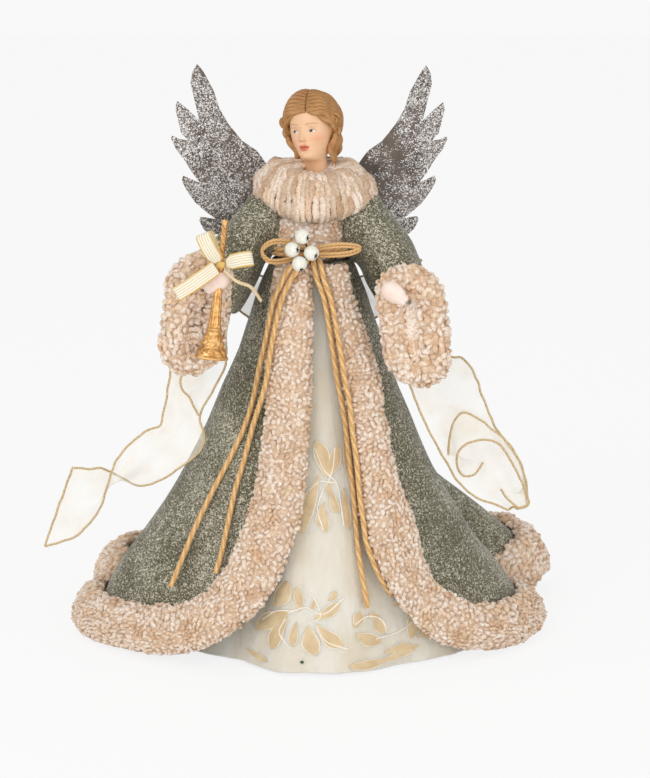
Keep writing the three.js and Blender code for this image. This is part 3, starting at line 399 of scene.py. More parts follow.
# %% Twine finish
def twine_finish():
    material, shader = finish("jute", Roughness=0.85, Sheen_Weight=0.25)
    grain = cloud(material, places(material, (9, 60, 1), "UV"), 3.0, 4, 0.7)
    fine = cloud(material, places(material), 900, 2)
    colour = ramp(material, grain, [
        (0.3, tone(190, 140, 80)), (0.45, tone(236, 192, 126)),
        (0.6, tone(249, 216, 156)), (0.75, tone(255, 240, 204)),
    ])
    laid_up = mixed(material, maths(material, "MULTIPLY", fine, 0.5), colour, tone(244, 206, 146))
    # three waves round the cord and about 25 along it paint shade as dark lines in the grooves between
    # strands
    spot = split(material, places(material, (18.85, 160, 1), "UV"))
    wind = maths(material, "SINE", maths(material, "ADD", spot["X"], spot["Y"]))
    groove = ramp(material, wind, [(0.0, tone(206, 160, 104)), (0.35, level(1)), (1.0, level(1))])
    feed(material, mixed(material, 0.55, laid_up, groove, "MULTIPLY"), shader)
    bumped(material, shader, grain, 0.7, 0.5 * mm)
    return material


jute = twine_finish()
for piece in [*tails.values(), *fibres]:
    wear(piece, jute)
print("twine pieces", len(tails) + len(fibres))

# %% [markdown]
# ## Felt coat
# The coat is one thick piece of felt from front edge to front edge. A copy of its solid is merged,
# turned back into four-sided faces and subdivided, which rounds the facets. Cloth never hangs
# perfectly even, so a slow noise then moves the points a little. The noise is a direction in space
# and not along the normal, so both faces of the felt move together and the thickness stays.

# %% Copies of solids, and slack
def cad_copy(node, name, quads=True):
    mesh = nodes[node].data.copy()
    mesh.materials.clear()
    piece = link(name, mesh)
    only(piece)
    if mesh.has_custom_normals:
        bpy.ops.mesh.customdata_custom_splitnormals_clear()
    bpy.ops.object.mode_set(mode="EDIT")
    bpy.ops.mesh.select_all(action="SELECT")
    bpy.ops.mesh.remove_doubles(threshold=1e-5)
    if quads:
        limit = math.radians(70)
        bpy.ops.mesh.tris_convert_to_quads(face_threshold=limit, shape_threshold=limit)
    bpy.ops.object.mode_set(mode="OBJECT")
    return piece


def apply_with(piece, kind, **settings):
    only(piece)
    modifier = piece.modifiers.new(kind.title(), kind)
    for key, value in settings.items():
        setattr(modifier, key, value)
    bpy.ops.object.modifier_apply(modifier=modifier.name)


def rounded(piece, levels=2):
    apply_with(piece, "SUBSURF", levels=levels, render_levels=levels)
    piece.data.shade_smooth()


def slack(piece, size, reach, seed=0.0, calm=None):
    """Moves every point by smooth noise of this size, reach at most; calm(point) damps it."""
    shift = Vector((seed, seed * 1.7, -seed))
    for vertex in piece.data.vertices:
        push = noise.noise_vector(vertex.co / size + shift) * reach
        vertex.co += push * (calm(vertex.co) if calm else 1.0)
    piece.data.update()


def surface_of(piece):
    mesh = piece.data
    return BVHTree.FromPolygons([v.co for v in mesh.vertices], [p.vertices for p in mesh.polygons])


def points_of(piece):
    return np.array([v.co for v in piece.data.vertices])


def move_points(piece, points):
    piece.data.vertices.foreach_set("co", points.ravel())
    piece.data.update()


# %% Coat
coat = cad_copy("coat", "coat_cloth")
rounded(coat)
slack(coat, 38 * mm, 1.3 * mm)
slack(coat, 11 * mm, 0.35 * mm, 3.0)

# %% [markdown]
# Felt is wool pressed flat, so it has no weave, only a soft grain. This one was dusted with silver
# glitter. Each fleck is one cell of a fine cell pattern, lit up only where the cell's own random
# value is high enough, and a slow noise shifts that limit, so the dust lies thicker in places.

# %% Felt finish
def flecks(material, at, scale, limit):
    colour = cells(material, at, scale)
    value = block(material, "ShaderNodeSeparateColor", {"Color": colour}).outputs["Red"]
    return maths(material, "GREATER_THAN", value, limit)


def felt_finish():
    material, shader = finish("felt", Sheen_Weight=0.2, Sheen_Roughness=0.4)
    at = places(material)
    slow = cloud(material, at, 26, 4, 0.6)
    grain = cloud(material, at, 520, 3, 0.75)
    wool = ramp(material, grain, [
        (0.3, tone(70, 67, 49)), (0.5, tone(92, 88, 66)), (0.7, tone(114, 109, 85)),
    ])
    dust_limit = maths(material, "ADD", maths(material, "MULTIPLY", slow, -0.66), 1.13)
    crumb_limit = maths(material, "ADD", maths(material, "MULTIPLY", slow, -0.5), 1.13)
    dust = flecks(material, at, 2300, dust_limit)
    crumbs = flecks(material, at, 1000, crumb_limit)
    glitter = maths(material, "MAXIMUM", dust, crumbs)
    feed(material, mixed(material, glitter, wool, tone(200, 194, 174)), shader)
    rough = maths(material, "SUBTRACT", 0.92, maths(material, "MULTIPLY", glitter, 0.5))
    feed(material, rough, shader, "Roughness")
    bumped(material, shader, maths(material, "ADD", grain, glitter), 0.55, 0.35 * mm)
    return material


felt = felt_finish()
dress(coat, "figure", felt, "coat_felt", "coat")
print("felt on", coat.name)

# %% [markdown]
# ## Sleeves
# Each sleeve is a bell of the same felt, narrow at the shoulder and tall at the mouth. It hangs from
# the arm's wire, so it shows deeper folds than the coat, and they run down and back.

# %% Sleeves
def full_shoulder(sleeve, hinge, amount):
    """Swells the cloth round the shoulder and draws its inner side to the body."""
    reach, inner_shift, inner_fade = 100 * mm, 12 * mm, 8 * mm
    middle = sum((v.co for v in sleeve.data.vertices), Vector()) / len(sleeve.data.vertices)
    axis = (middle - hinge).normalized()
    for vertex in sleeve.data.vertices:
        away = vertex.co - hinge
        side_step = away - axis * away.dot(axis)
        near = max(0.0, 1 - away.length / reach)
        vertex.co += side_step.normalized() * amount * near**0.7
        if side_step.x * hinge.x < 0:
            fade = min(1, side_step.length / inner_fade)
            vertex.co.x -= math.copysign(inner_shift, hinge.x) * near * fade


# the height to which the lower edge hangs, at these distances from the body's middle
hang_at = np.array([28, 33, 38, 44, 50, 57, 64, 80]) * mm
hang_to = np.array([278, 268, 256, 244, 234, 224, 214, 206]) * mm


def hung_low(sleeve):
    """Stretches the lower half of the sleeve, slice by slice, until its edge hangs low enough."""
    slice_step, slice_half = 5 * mm, 4 * mm
    points = points_of(sleeve)
    out = np.abs(points[:, 0])
    steps = np.arange(out.min() + slice_half / 2, out.max(), slice_step)
    near = [points[np.abs(out - at) < slice_half, 2] for at in steps]
    low = np.interp(out, steps, [z.min() for z in near])
    middle = (low + np.interp(out, steps, [z.max() for z in near])) / 2
    wanted = np.minimum(low, np.interp(out, hang_at, hang_to))
    stretch = (middle - wanted) / (middle - low)
    below = np.minimum(0, points[:, 2] - middle)
    points[:, 2] += below * (stretch - 1)
    move_points(sleeve, points)


shoulder_swell = {"left": 8 * mm, "right": 11 * mm}
for side, amount in shoulder_swell.items():
    sign = -1 if side == "left" else 1
    sleeve = cad_copy(f"sleeve_{side}", f"sleeve_cloth_{side}")
    rounded(sleeve)
    full_shoulder(sleeve, Vector((sign * 0.036, -0.002, 0.312)), amount)
    hung_low(sleeve)
    slack(sleeve, 24 * mm, 1.2 * mm, 5.0)
    slack(sleeve, 9 * mm, 0.4 * mm, 1.0)
    dress(sleeve, f"arm_{side}", felt, "coat_felt", f"sleeve_{side}")

# %% [markdown]
# ## Underskirts
# Under the coat hang a stiff net that props the skirt out, an ivory satin, and a sheer beige cloth
# over the satin. All three are gathered at the waist. The two outer layers move by the same noise,
# so the sheer one keeps its small distance from the satin all over.

# %% Net, satin and sheer cloth
waist_height, calm_reach, least_slack = 0.262, 0.09, 0.05
floor_gap = 0.5 * mm


def skirt_calm(point):
    return min(1.0, max(least_slack, (waist_height - point.z) / calm_reach))


def underskirt(node, name):
    piece = cad_copy(node, name)
    rounded(piece)
    slack(piece, 30 * mm, 1.6 * mm, 7.0, skirt_calm)
    slack(piece, 10 * mm, 0.5 * mm, 2.0, skirt_calm)
    for vertex in piece.data.vertices:
        vertex.co.z = max(vertex.co.z, floor_gap)
    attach(piece, "figure")
    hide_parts(node)
    return piece


net = underskirt("net_petticoat", "net_cloth")
satin = underskirt("satin_underskirt", "satin_cloth")
sheer = underskirt("sheer_overskirt", "sheer_cloth")

# %% [markdown]
# Satin shines along its threads and shows every small crease. The sheer cloth is nearly clear, with
# a fine weave. Its colour comes from the satin below and from the shapes that are woven into it.

# %% Satin, sheer and net finishes
def creased_finish(name, colour, deep, rough, **sockets):
    material, shader = finish(name, Roughness=rough, **sockets)
    at = places(material, (1, 1, 0.35))
    crease = cloud(material, at, 42, 5, 0.6)
    weave = cloud(material, places(material, (1, 1, 3)), 1600, 1)
    # painted shade: the low places of the crease noise, which is also the bump, take the darker deep colour
    feed(material, ramp(material, crease, [(0.3, deep), (0.6, colour)]), shader)
    both = maths(material, "ADD", crease, maths(material, "MULTIPLY", weave, 0.06))
    bumped(material, shader, both, 0.8, 6 * mm)
    return material


satin_skin = creased_finish("satin", tone(249, 244, 233), tone(242, 232, 214), 0.42, Sheen_Weight=0.15)
wear(satin, satin_skin)
sheer_skin = creased_finish("sheer", tone(254, 251, 242), tone(244, 232, 208), 0.6, Alpha=0.35)
wear(sheer, sheer_skin)
net_skin = creased_finish("net", tone(240, 236, 226), tone(214, 206, 190), 0.7)
wear(net, net_skin)
print("three skirt layers dressed")

# %% [markdown]
# ## Petals on the sheer cloth
# The beige petals are woven patches that stand slightly proud. Each one is a small skin whose width
# swells and narrows along its middle line. It is laid on the cloth by looking for the cloth behind
# each of its points, so it follows every fold. Loose flowers are built from petals round a middle.

# %% Woven petals
sheer_ground = surface_of(sheer)
# depths in front of the whole figure, where rays start, and just in front of the skirt
far_ahead, near_skirt = -0.3, -0.1


def laid(x, z, lift):
    hit, normal, _, _ = sheer_ground.ray_cast(Vector((x, far_ahead, z)), Vector((0, 1, 0)))
    if hit is None:
        hit, normal, _, _ = sheer_ground.find_nearest(Vector((x, near_skirt, z)))
    if normal.y > 0:
        normal = -normal
    return hit + normal * lift


def petal(foot, tip, width):
    """A grid over one petal, from its narrow foot to its broad tip."""
    bend, narrow = 0.12, 0.06
    foot, tip = np.array(foot, float), np.array(tip, float)
    ahead = tip - foot
    across = np.array([ahead[1], -ahead[0]]) / np.linalg.norm(ahead)
    rows = []
    for t in np.linspace(0, 1, 13):
        swell = narrow + 0.94 * math.sin(math.pi * t ** 1.35) ** 0.6 if 0 < t < 1 else narrow
        swell *= 1 + 0.07 * math.sin(7 * t + foot[0])
        lean = bend * math.sin(math.pi * t) * width
        row = []
        for s in np.linspace(-1, 1, 7):
            px, pz = foot + ahead * t + across * (s * swell * width / 2 + lean)
            row.append(laid(px * mm, pz * mm, (0.4 + 0.1 * math.cos(3 * s)) * mm))
        rows.append(row)
    return np.array(rows)


# each petal's foot x and z, tip x and z, and width
petal_table = [
    # the big flower at the hem
    (-14.7, 43.2, -38.5, 26.6, 10), (-16.8, 39.3, -27.9, 16.3, 9), (-2.4, 34, 3, 14.3, 12),
    (3, 34.7, 21.5, 19.9, 10), (1.7, 38.6, 19.4, 48.6, 8), (-7.9, 43.2, -10.7, 58.8, 6),
    (-0.4, 45.1, 3, 51.1, 4), (11.9, 50.7, 16.7, 56.7, 5), (-10, 36, -13, 20, 6),
    # the flower beside it, and the leaves up to the coat's edge
    (29, 31.9, 33.2, 41.8, 8), (30.4, 27.8, 47.8, 19.4, 9), (43.6, 35.9, 51.3, 25.3, 8),
    (39.4, 39.9, 46.4, 35.3, 5), (56.2, 41.4, 61.9, 46.4, 5), (68.2, 17.8, 71.7, 35.8, 12),
    (73.1, 17.8, 82.3, 23.2, 6), (-25.9, 44.8, -16.1, 62, 11),
    # the tall branch in the middle
    (9.9, 130.1, 3, 155.1, 10), (11.9, 130.8, 17.5, 150.6, 9), (13.3, 135.2, 18.8, 140.6, 4),
    (5.1, 131.4, -7.3, 92.8, 10), (9.2, 114.3, 5.1, 98.7, 6), (13.3, 120.8, 18.1, 106.7, 6),
    (9.9, 107.8, 9.2, 94.9, 7), (23.7, 164.2, 26.5, 125.8, 6), (22.3, 122.5, 25.7, 95, 6),
    (30.6, 133, 38.2, 83.5, 7), (12, 128, 12, 118, 4), (13.5, 141, 10, 131, 4),
    # the hem's edge
    (25, 7, 50, 6.5, 7), (46, 6, 74, 13, 6), (50, 12, 68, 15, 5), (-46, 12, -30, 7, 4),
]


def join_pieces(parts, name):
    only(parts[0])
    for part in parts:
        part.select_set(True)
    bpy.ops.object.join()
    joined = bpy.context.object
    joined.name = joined.data.name = name
    return joined


petal_skins = [
    skin(f"petal_{i}", petal((foot_x, foot_z), (tip_x, tip_z), width))
    for i, (foot_x, foot_z, tip_x, tip_z, width) in enumerate(petal_table)
]
petals = join_pieces(petal_skins, "woven_petals")
print("petals", len(petal_table), "faces", len(petals.data.polygons))

# %% [markdown]
# The middle of a petal is a flat beige, with a paler edge where the thick thread turns back, and
# thin veins. Both come from the petal's own UV map: one direction crosses it, the other runs along.

# %% Petal finish
def petal_finish():
    material, shader = finish("petal_weave", Roughness=0.65, Sheen_Weight=0.1)
    uv = split(material, places(material, source="UV"))
    across = maths(material, "ABSOLUTE", maths(material, "SUBTRACT", uv["X"], 0.5))
    edge = ramp(material, across, [
        (0, level(0.25)), (0.03, level(0)), (0.41, level(0)), (0.47, level(0.9)),
    ])
    mottle = cloud(material, places(material), 130, 3)
    colour = ramp(material, mottle, [(0.35, tone(205, 178, 136)), (0.65, tone(221, 198, 160))])
    feed(material, mixed(material, edge, colour, tone(246, 238, 220)), shader)
    weave = cloud(material, places(material, (1, 1, 4)), 1500, 1)
    bumped(material, shader, maths(material, "ADD", weave, edge), 0.4, 0.3 * mm)
    return material


vein_lines = [
    [(-16, 42), (-4, 46), (8, 42), (22, 52)],
    [(-2, 36), (6, 40), (2, 52), (-6, 60)],
    [(-18, 38), (-22, 28), (-14, 18)],
    [(-34, 34), (-24, 42), (-10, 44)],
    [(3, 34), (10, 24), (26, 18)],
    [(30, 34), (38, 38), (48, 34), (52, 24)],
    [(2, 150), (8, 136), (17, 126), (20, 112), (22, 98)],
    [(16, 150), (14, 134), (8, 122), (4, 110), (8, 96)],
    [(17, 126), (6, 128), (-2, 122)],
    [(44, 22), (60, 24), (72, 30)],
]
vein_width, vein_lift = 0.8 * mm, 0.35 * mm
veins = []
for k, line in enumerate(vein_lines):
    flat_line = smooth_route(np.array([(x * mm, 0, z * mm) for x, z in line]), 1 * mm)
    on_cloth = np.array([laid(x, z, vein_lift) for x, _, z in flat_line])
    veins.append(twisted_twine(f"vein_{k}", on_cloth, vein_width, 2, 2 * mm))
vein = join_pieces(veins, "vein_threads")
thread_colours = [(0.3, tone(244, 236, 218)), (0.7, tone(254, 251, 244))]
thread = grained_finish("thread", 900, 2, thread_colours, 0.2, 0.1 * mm, Roughness=0.6)
dress(vein, "figure", thread, "sheer_overlay")
dress(petals, "figure", petal_finish(), "sheer_overlay")
print("petals dressed, veins", len(veins))

# %% [markdown]
# ## Looped yarn
# The collar, bodice, cuffs and all the borders are a thick fringe yarn whose loops stand up like
# popcorn. Thousands of them cover the piece, so one loop is modelled once, from a ball that is
# drawn out and bent, with only a few dozen faces, and copied at random places that keep a fair
# distance from each other.

# %% One loop of yarn
def ball(name, radius, segments, rings):
    bpy.ops.object.select_all(action="DESELECT")
    bpy.ops.mesh.primitive_uv_sphere_add(segments=segments, ring_count=rings, radius=radius)
    piece = bpy.context.object
    piece.name = piece.data.name = name
    return piece


loop = ball("loop", 1, 7, 5)
bpy.ops.object.mode_set(mode="EDIT")
bpy.ops.mesh.select_all(action="SELECT")
bpy.ops.transform.rotate(value=math.pi / 2, orient_axis="Y", center_override=(0, 0, 0))
bpy.ops.transform.resize(value=(1, 0.8, 0.74))
bpy.ops.object.mode_set(mode="OBJECT")
for vertex in loop.data.vertices:
    vertex.co.z += 0.25 - 0.4 * vertex.co.x**2
    vertex.co.y += 0.14 * math.sin(3 * vertex.co.x)
loop_points = points_of(loop)
loop_faces = [tuple(p.vertices) for p in loop.data.polygons]
bpy.data.objects.remove(loop)
print("loop points", len(loop_points), "faces", len(loop_faces))

# %% [markdown]
# Random places are drawn on the ground piece's triangles, large ones more often, and one that comes
# too close to an earlier one is dropped. A grid of small boxes makes that test quick.

# %% Places that keep their distance
def scattered(ground, spacing, seed, skip=None):
    tries = 7
    dice = np.random.default_rng(seed)
    mesh = ground.data
    mesh.calc_loop_triangles()
    corners = points_of(ground)[np.array([t.vertices for t in mesh.loop_triangles])]
    normal = np.cross(corners[:, 1] - corners[:, 0], corners[:, 2] - corners[:, 0])
    size = np.linalg.norm(normal, axis=1)
    normal /= size[:, None] + 1e-12
    count = int(size.sum() / 2 / spacing**2 * tries)
    pick = dice.choice(len(corners), count, p=size / size.sum())
    a, b = dice.random((2, count))
    over = a + b > 1
    a[over], b[over] = 1 - a[over], 1 - b[over]
    tri = corners[pick]
    at = tri[:, 0] + a[:, None] * (tri[:, 1] - tri[:, 0]) + b[:, None] * (tri[:, 2] - tri[:, 0])
    kept, boxes = [], {}
    for k in range(count):
        if skip and skip(at[k], normal[pick[k]]):
            continue
        cell = tuple((at[k] // spacing).astype(int))
        near = [
            i for dx in (-1, 0, 1) for dy in (-1, 0, 1) for dz in (-1, 0, 1)
            for i in boxes.get((cell[0] + dx, cell[1] + dy, cell[2] + dz), ())
        ]
        if any(((at[i] - at[k]) ** 2).sum() < spacing**2 for i in near):
            continue
        boxes.setdefault(cell, []).append(k)
        kept.append(k)
    return at[kept], normal[pick[kept]]


# %% [markdown]
# Every loop gets its own size, turn and colour. The colour is kept on each point and holds painted light:
# painted shade, darker where the loop dips into the pile, and a painted white highlight on the outer side
# of some loops, in random patches.

# %% A coat of loops
yarn_shades = [tone(242, 220, 193), tone(234, 207, 177), tone(247, 231, 211), tone(224, 193, 161)]
yarn_shades = np.array(yarn_shades)[:, :3]
highlight_colour = np.array(tone(250, 246, 242)[:3])


def unit(v):
    return v / (np.linalg.norm(v, axis=-1, keepdims=True) + 1e-12)


def yarn_tints(at, outer, dice, highlight_amount, light=0.7):
    """A colour for each point of each copy, with painted shade deep in the pile and painted highlight on
    top; outer is 0 deep in the pile and 1 on top.
    """
    count, patch_size = len(at), 11 * mm
    body = yarn_shades[dice.integers(0, len(yarn_shades), count)][:, None, :]
    # painted shade: points lower in the pile are darker, down to light times their colour at the bottom
    depth = light + (1 - light) * outer[None, :, None]
    # painted highlight, in random patches: the outer side of some loops is painted white
    patch = np.array([noise.noise(Vector(p) / patch_size) for p in at])[:, None, None]
    highlight_patches = np.clip(dice.random((count, 1, 1)) * 0.8 + 1.5 * patch + 0.2, 0, 1) * highlight_amount
    painted_highlight = highlight_patches * np.clip(outer[None, :, None] * 1.5 - 0.45, 0, 1)
    return body * depth * (1 - painted_highlight) + highlight_colour * painted_highlight


def colour_points(piece, layer_name, colours):
    layer = piece.data.color_attributes.new(layer_name, "FLOAT_COLOR", "POINT")
    full = np.ones((len(piece.data.vertices), 4), dtype=np.float32)
    full[:, :3] = colours.reshape(-1, 3)
    layer.data.foreach_set("color", full.ravel())


def loops(name, at, normal, long, seed, highlight_amount, light):
    lean, smallest, largest, lowest = 0.36, 0.66, 1.34, 0.2 * mm
    dice = np.random.default_rng(seed)
    count, n = len(at), len(loop_points)
    normal = unit(normal + dice.normal(0, lean, (count, 3)))
    course = dice.normal(0, 1, (count, 3))
    course = unit(course - (course * normal).sum(1)[:, None] * normal)
    turn = np.stack([course, np.cross(normal, course), normal], axis=2)
    size = dice.uniform(smallest, largest, (count, 1, 3)) * np.array(long)[None, None, :]
    points = at[:, None, :] + np.einsum("nij,nkj->nki", turn, loop_points[None, :, :] * size)
    points[..., 2] = np.maximum(points[..., 2], lowest)
    faces = [tuple(i + n * k for i in face) for k in range(count) for face in loop_faces]
    mesh = bpy.data.meshes.new(name)
    mesh.from_pydata(points.reshape(-1, 3).tolist(), [], faces)
    mesh.shade_smooth()
    cover = link(name, mesh)
    outer = np.clip((loop_points[:, 2] + 0.5) / 1.2, 0, 1)
    colour_points(cover, "tint_and_painted_light", yarn_tints(at, outer, dice, highlight_amount, light))
    return cover


def backing(node, inset=1.0 * mm):
    lump_size, lump_height = 5.5 * mm, 1.7 * mm
    piece = cad_copy(node, f"{node}_backing")
    apply_with(piece, "SUBSURF", levels=1, subdivision_type="SIMPLE")
    for vertex in piece.data.vertices:
        lump = noise.noise(vertex.co / lump_size) + 0.5 * noise.noise(vertex.co / (2 * lump_size))
        vertex.co -= vertex.normal * (inset - lump_height * lump)
    piece.data.shade_smooth()
    return piece


print("ready to lay loops")

# %% [markdown]
# Yarn has no shine. Its colour, with the painted shade and highlight, comes from the colour attribute, and a
# fine noise across the loop suggests the plies, with painted shade in the low places between them.

# %% Yarn finishes
def yarn_finish():
    material, shader = finish("looped_yarn", Roughness=0.95, Sheen_Weight=0.3, Sheen_Roughness=0.6)
    tint_and_painted_light = block(material, "ShaderNodeAttribute", attribute_name="tint_and_painted_light").outputs["Color"]
    plies = cloud(material, places(material), 780, 3, 0.7)
    # painted shade: the same noise as the bump darkens the low places between the plies
    shade = ramp(material, plies, [
        (0.32, tone(222, 190, 162)), (0.5, tone(246, 236, 226)), (0.62, level(1)),
    ])
    feed(material, mixed(material, 1.0, tint_and_painted_light, shade, "MULTIPLY"), shader)
    bumped(material, shader, plies, 0.8, 0.5 * mm)
    return material


def backing_finish():
    material, shader = finish("yarn_backing", Roughness=0.95)
    nap = cloud(material, places(material), 380, 4, 0.7)
    colour = ramp(material, nap, [(0.3, tone(208, 176, 145)), (0.65, tone(238, 213, 186))])
    feed(material, colour, shader)
    bumped(material, shader, nap, 0.9, 1.2 * mm)
    return material


yarn = yarn_finish()
knitted = backing_finish()
coat_ground = surface_of(coat)


def pile(node, body, spacing, long, seed, skip=None, more=None, highlight_amount=0.8, light=0.7):
    base = backing(node)
    at, normal = scattered(base, spacing, seed, skip)
    if more:
        extra = more(base)
        at = np.vstack([at, extra])
        normal = np.vstack([normal, np.tile((0.0, -1.0, 0.0), (len(extra), 1))])
    cover = loops(f"{node}_loops", at, normal, long, seed, highlight_amount, light)
    dress(base, body, knitted, "looped_yarn", node)
    dress(cover, body, yarn, "looped_yarn")
    print(node, "loops", len(at))
    return base, cover


# %% Borders of the coat
hidden_gap = 1.3 * mm


def against_coat(point, normal):
    hit = coat_ground.find_nearest(Vector(point))
    return hit[0] is not None and hit[3] < hidden_gap


# how long, wide and high a loop is
front_loop = (2.5 * mm, 2.1 * mm, 2.4 * mm)
back_loop = (2.8 * mm, 2.4 * mm, 2.5 * mm)
borders = [
    *pile("front_trim_left", "figure", 2.8 * mm, front_loop, 11, against_coat),
    *pile("front_trim_right", "figure", 2.8 * mm, front_loop, 12, against_coat),
    *pile("hem_trim_back", "figure", 3.2 * mm, back_loop, 13, against_coat),
]


# %% [markdown]
# The wide skirt of the coat drags outward where it touches down. One smooth shift widens the hem,
# more at the back right, draws the sides in above it, and sinks the front border a little. The coat
# and its borders take the same shift, so they stay together.

# %% Flared hem
# how far the hem moves out, at these distances from the middle: left side, right front, right back
flare_at = np.array([50, 93, 118, 140, 164]) * mm
flare_left = np.array([0, -3, 0, 6, 12]) * mm
flare_front = np.array([0, -6, -3, 5, 10]) * mm
flare_back = np.array([0, -5, 4, 13, 16]) * mm
back_start, back_growth = 38 * mm, 45 * mm
tuck_middle, tuck_reach, tuck_size = 42 * mm, 14 * mm, 6 * mm
sink_at = np.array([0, 35, 120]) * mm
sink_left, sink_right = 8 * mm, 9 * mm


def grown(values, start, growth):
    """0 up to the start, and 1 after this much growth."""
    return np.clip((values - start) / growth, 0, 1)


def flared(piece):
    points = points_of(piece)
    out = np.abs(points[:, 0])
    right = points[:, 0] > 0
    back = grown(points[:, 1], back_start, back_growth)
    back = back * back * (3 - 2 * back)
    behind = np.interp(out, flare_at, flare_back)
    ahead = np.interp(out, flare_at, flare_front)
    push = np.where(right, ahead + (behind - ahead) * back, np.interp(out, flare_at, flare_left))
    tuck = np.exp(-(((points[:, 1] - tuck_middle) / tuck_reach) ** 2)) * grown(out, 70 * mm, 40 * mm)
    push -= np.where(right, tuck_size, 0) * tuck
    side = grown(out, 50 * mm, 50 * mm) * (1 - back)
    sink = np.where(right, sink_right, sink_left) * side * np.interp(points[:, 2], sink_at, [0, 1, 0])
    points[:, 0] += np.sign(points[:, 0]) * push
    points[:, 2] -= sink
    move_points(piece, points)


for piece in [coat] + borders:
    flared(piece)
print("flared", 1 + len(borders))

# %% [markdown]
# A cuff is a tall closed pouch: its two lips meet in a crease below the hand. The crease is found by
# looking from the front for places where a ray passes between the lips, and it is filled with loops
# that sit a little deeper than the lips themselves. The bodice has no loops on its inner side, and
# none where the arms' wires pass.

# %% Bodice and cuffs
ray_step, row_step = 0.7 * mm, 2.2 * mm
lip_thickness, crease_sink, hand_gap = 7 * mm, 2.0 * mm, 3 * mm


def lips(ground, low, high, z):
    """Places in the crease at this height, between two stretches where a ray meets a lip."""
    xs = np.arange(low[0], high[0], ray_step)
    hits = [ground.ray_cast(Vector((x, far_ahead, z)), Vector((0, 1, 0))) for x in xs]
    front = [h[0] is not None and h[1].y < -0.15 for h in hits]
    depth = [h[0].y for h, good in zip(hits, front) if good]
    if len(depth) < 4:
        return []
    lip_depth = float(np.median(depth))
    good = [ok and h[0].y < lip_depth + lip_thickness for h, ok in zip(hits, front)]
    inner = [k for k in range(len(xs)) if not good[k] and any(good[:k]) and any(good[k:])]
    return [(xs[k], lip_depth + crease_sink, z) for k in inner[::3]]


def crease(side):
    hand_ground = surface_of(nodes[f"hand_{side}"])

    def found(base):
        points = points_of(base)
        low, high = points.min(axis=0), points.max(axis=0)
        ground = surface_of(base)
        heights = np.arange(low[2] + 6 * mm, high[2] - 8 * mm, row_step)
        spots = [spot for z in heights for spot in lips(ground, low, high, z)]
        return np.array([spot for spot in spots if hand_ground.find_nearest(Vector(spot))[3] > hand_gap])

    return found


def out_of_sight(point, normal):
    inside = point[0] * normal[0] + point[1] * normal[1] < 0
    near_wire = abs(point[0]) > 14 * mm and abs(point[1]) < 12 * mm and point[2] > 0.298
    return inside or near_wire


bodice_loop = (2.3 * mm, 2.0 * mm, 2.2 * mm)
cuff_loop = (3.1 * mm, 2.6 * mm, 2.6 * mm)
# the bodice's loops get less painted shade and more painted highlight, painted lighter against the collar's
# shadow
pile("bodice", "figure", 2.8 * mm, bodice_loop, 14, out_of_sight, highlight_amount=1.6, light=0.92)
for seed, side in ((15, "left"), (16, "right")):
    pile(f"cuff_{side}", f"arm_{side}", 3.3 * mm, cuff_loop, seed, None, crease(side), 0.85, 0.8)

# %% [markdown]
# The collar is different: its loops are long knobbly tubes that hang side by side in four tiers,
# like a fringe sewn on in rounds. For each direction round the neck, rays from outside find the
# collar's profile from its inner rim to its lower edge, and each tube follows a stretch of it.

# %% Collar profile
collar_base = backing("collar", 1.6 * mm)
collar_ground = surface_of(collar_base)
collar_points = points_of(collar_base)
collar_low, collar_high = collar_points.min(axis=0), collar_points.max(axis=0)
neck_place = (collar_low + collar_high) / 2


def collar_profile(a):
    """Points from the inner rim, over the top, to the lower edge, in direction a."""
    ahead = Vector((math.sin(a), -math.cos(a), 0))
    heart_height = collar_low[2] + 0.42 * (collar_high[2] - collar_low[2])
    heart = Vector((neck_place[0], neck_place[1] + 1 * mm, heart_height)) + ahead * 19 * mm
    ring = []
    for b in np.linspace(0.1, 4.3, 46):
        way = (ahead * -math.cos(b) + Vector((0, 0, 1)) * math.sin(b)).normalized()
        hit = collar_ground.ray_cast(heart + way * 60 * mm, -way)[0]
        if hit is not None:
            ring.append(np.array(hit))
    return np.array(ring)


profile = collar_profile(0.0)
print("profile", len(profile), *[(profile[k] / mm).round(1) for k in (0, len(profile) // 2, -1)])

# %% Tubes of the collar
def knobbly_tube(points, thick, dice):
    rings, puff, shake = 11, 2.4 * mm, 0.3 * mm
    run = np.linspace(0, 1, rings)
    belly = np.sin(math.pi * run) ** 0.5
    route = sampled(points, np.linspace(0, len(points) - 1, rings))
    out = unit(route - np.array([neck_place[0], neck_place[1], collar_low[2]]))
    route = route + out * (belly * puff)[:, None] + dice.normal(0, shake, route.shape)
    body = thick * (0.55 + 0.45 * belly) * dice.uniform(0.8, 1.2, rings)
    turns = full_circle(7)
    knob = 1 + 0.16 * np.sin(2 * turns[None, :] + 9 * run[:, None] + dice.uniform(0, 6))
    return ring_grid(route, body[:, None] * knob)


# where along the profile the tubes of a tier start and end, and how many there are
tiers = ((0.02, 0.3, 46), (0.2, 0.55, 60), (0.44, 0.78, 70), (0.68, 1.0, 64))
tube_thickness = 2.2 * mm
dice = np.random.default_rng(17)
tubes = []
for tier, (start, end, count) in enumerate(tiers):
    for k in range(count):
        a = 2 * math.pi * (k + 0.5 * (tier % 2) + dice.uniform(-0.2, 0.2)) / count
        line = collar_profile(a)
        if len(line) < 8:
            continue
        first, last = [int(share * (len(line) - 1)) for share in (start, end)]
        if last - first > 2:
            rings = knobbly_tube(line[first:last + 1], tube_thickness, dice)
            tubes.append(skin(f"tube_{len(tubes)}", rings, wrap=True, caps=True))
# painted shade and highlight alternate in waves over each tube's points
for k, tube in enumerate(tubes):
    points = points_of(tube)
    outer = np.clip(0.55 + 0.45 * np.sin(np.arange(len(points)) * 0.9 + k), 0, 1)
    colour_points(tube, "tint_and_painted_light", yarn_tints(points.mean(axis=0)[None, :], outer, dice, 0.75))
collar_tubes = join_pieces(tubes, "collar_tubes")

# %% [markdown]
# The collar isn't round. It dips towards the chin, droops at its right edge and is wider to the
# right, so the points of the backing and of the tubes are moved alike.

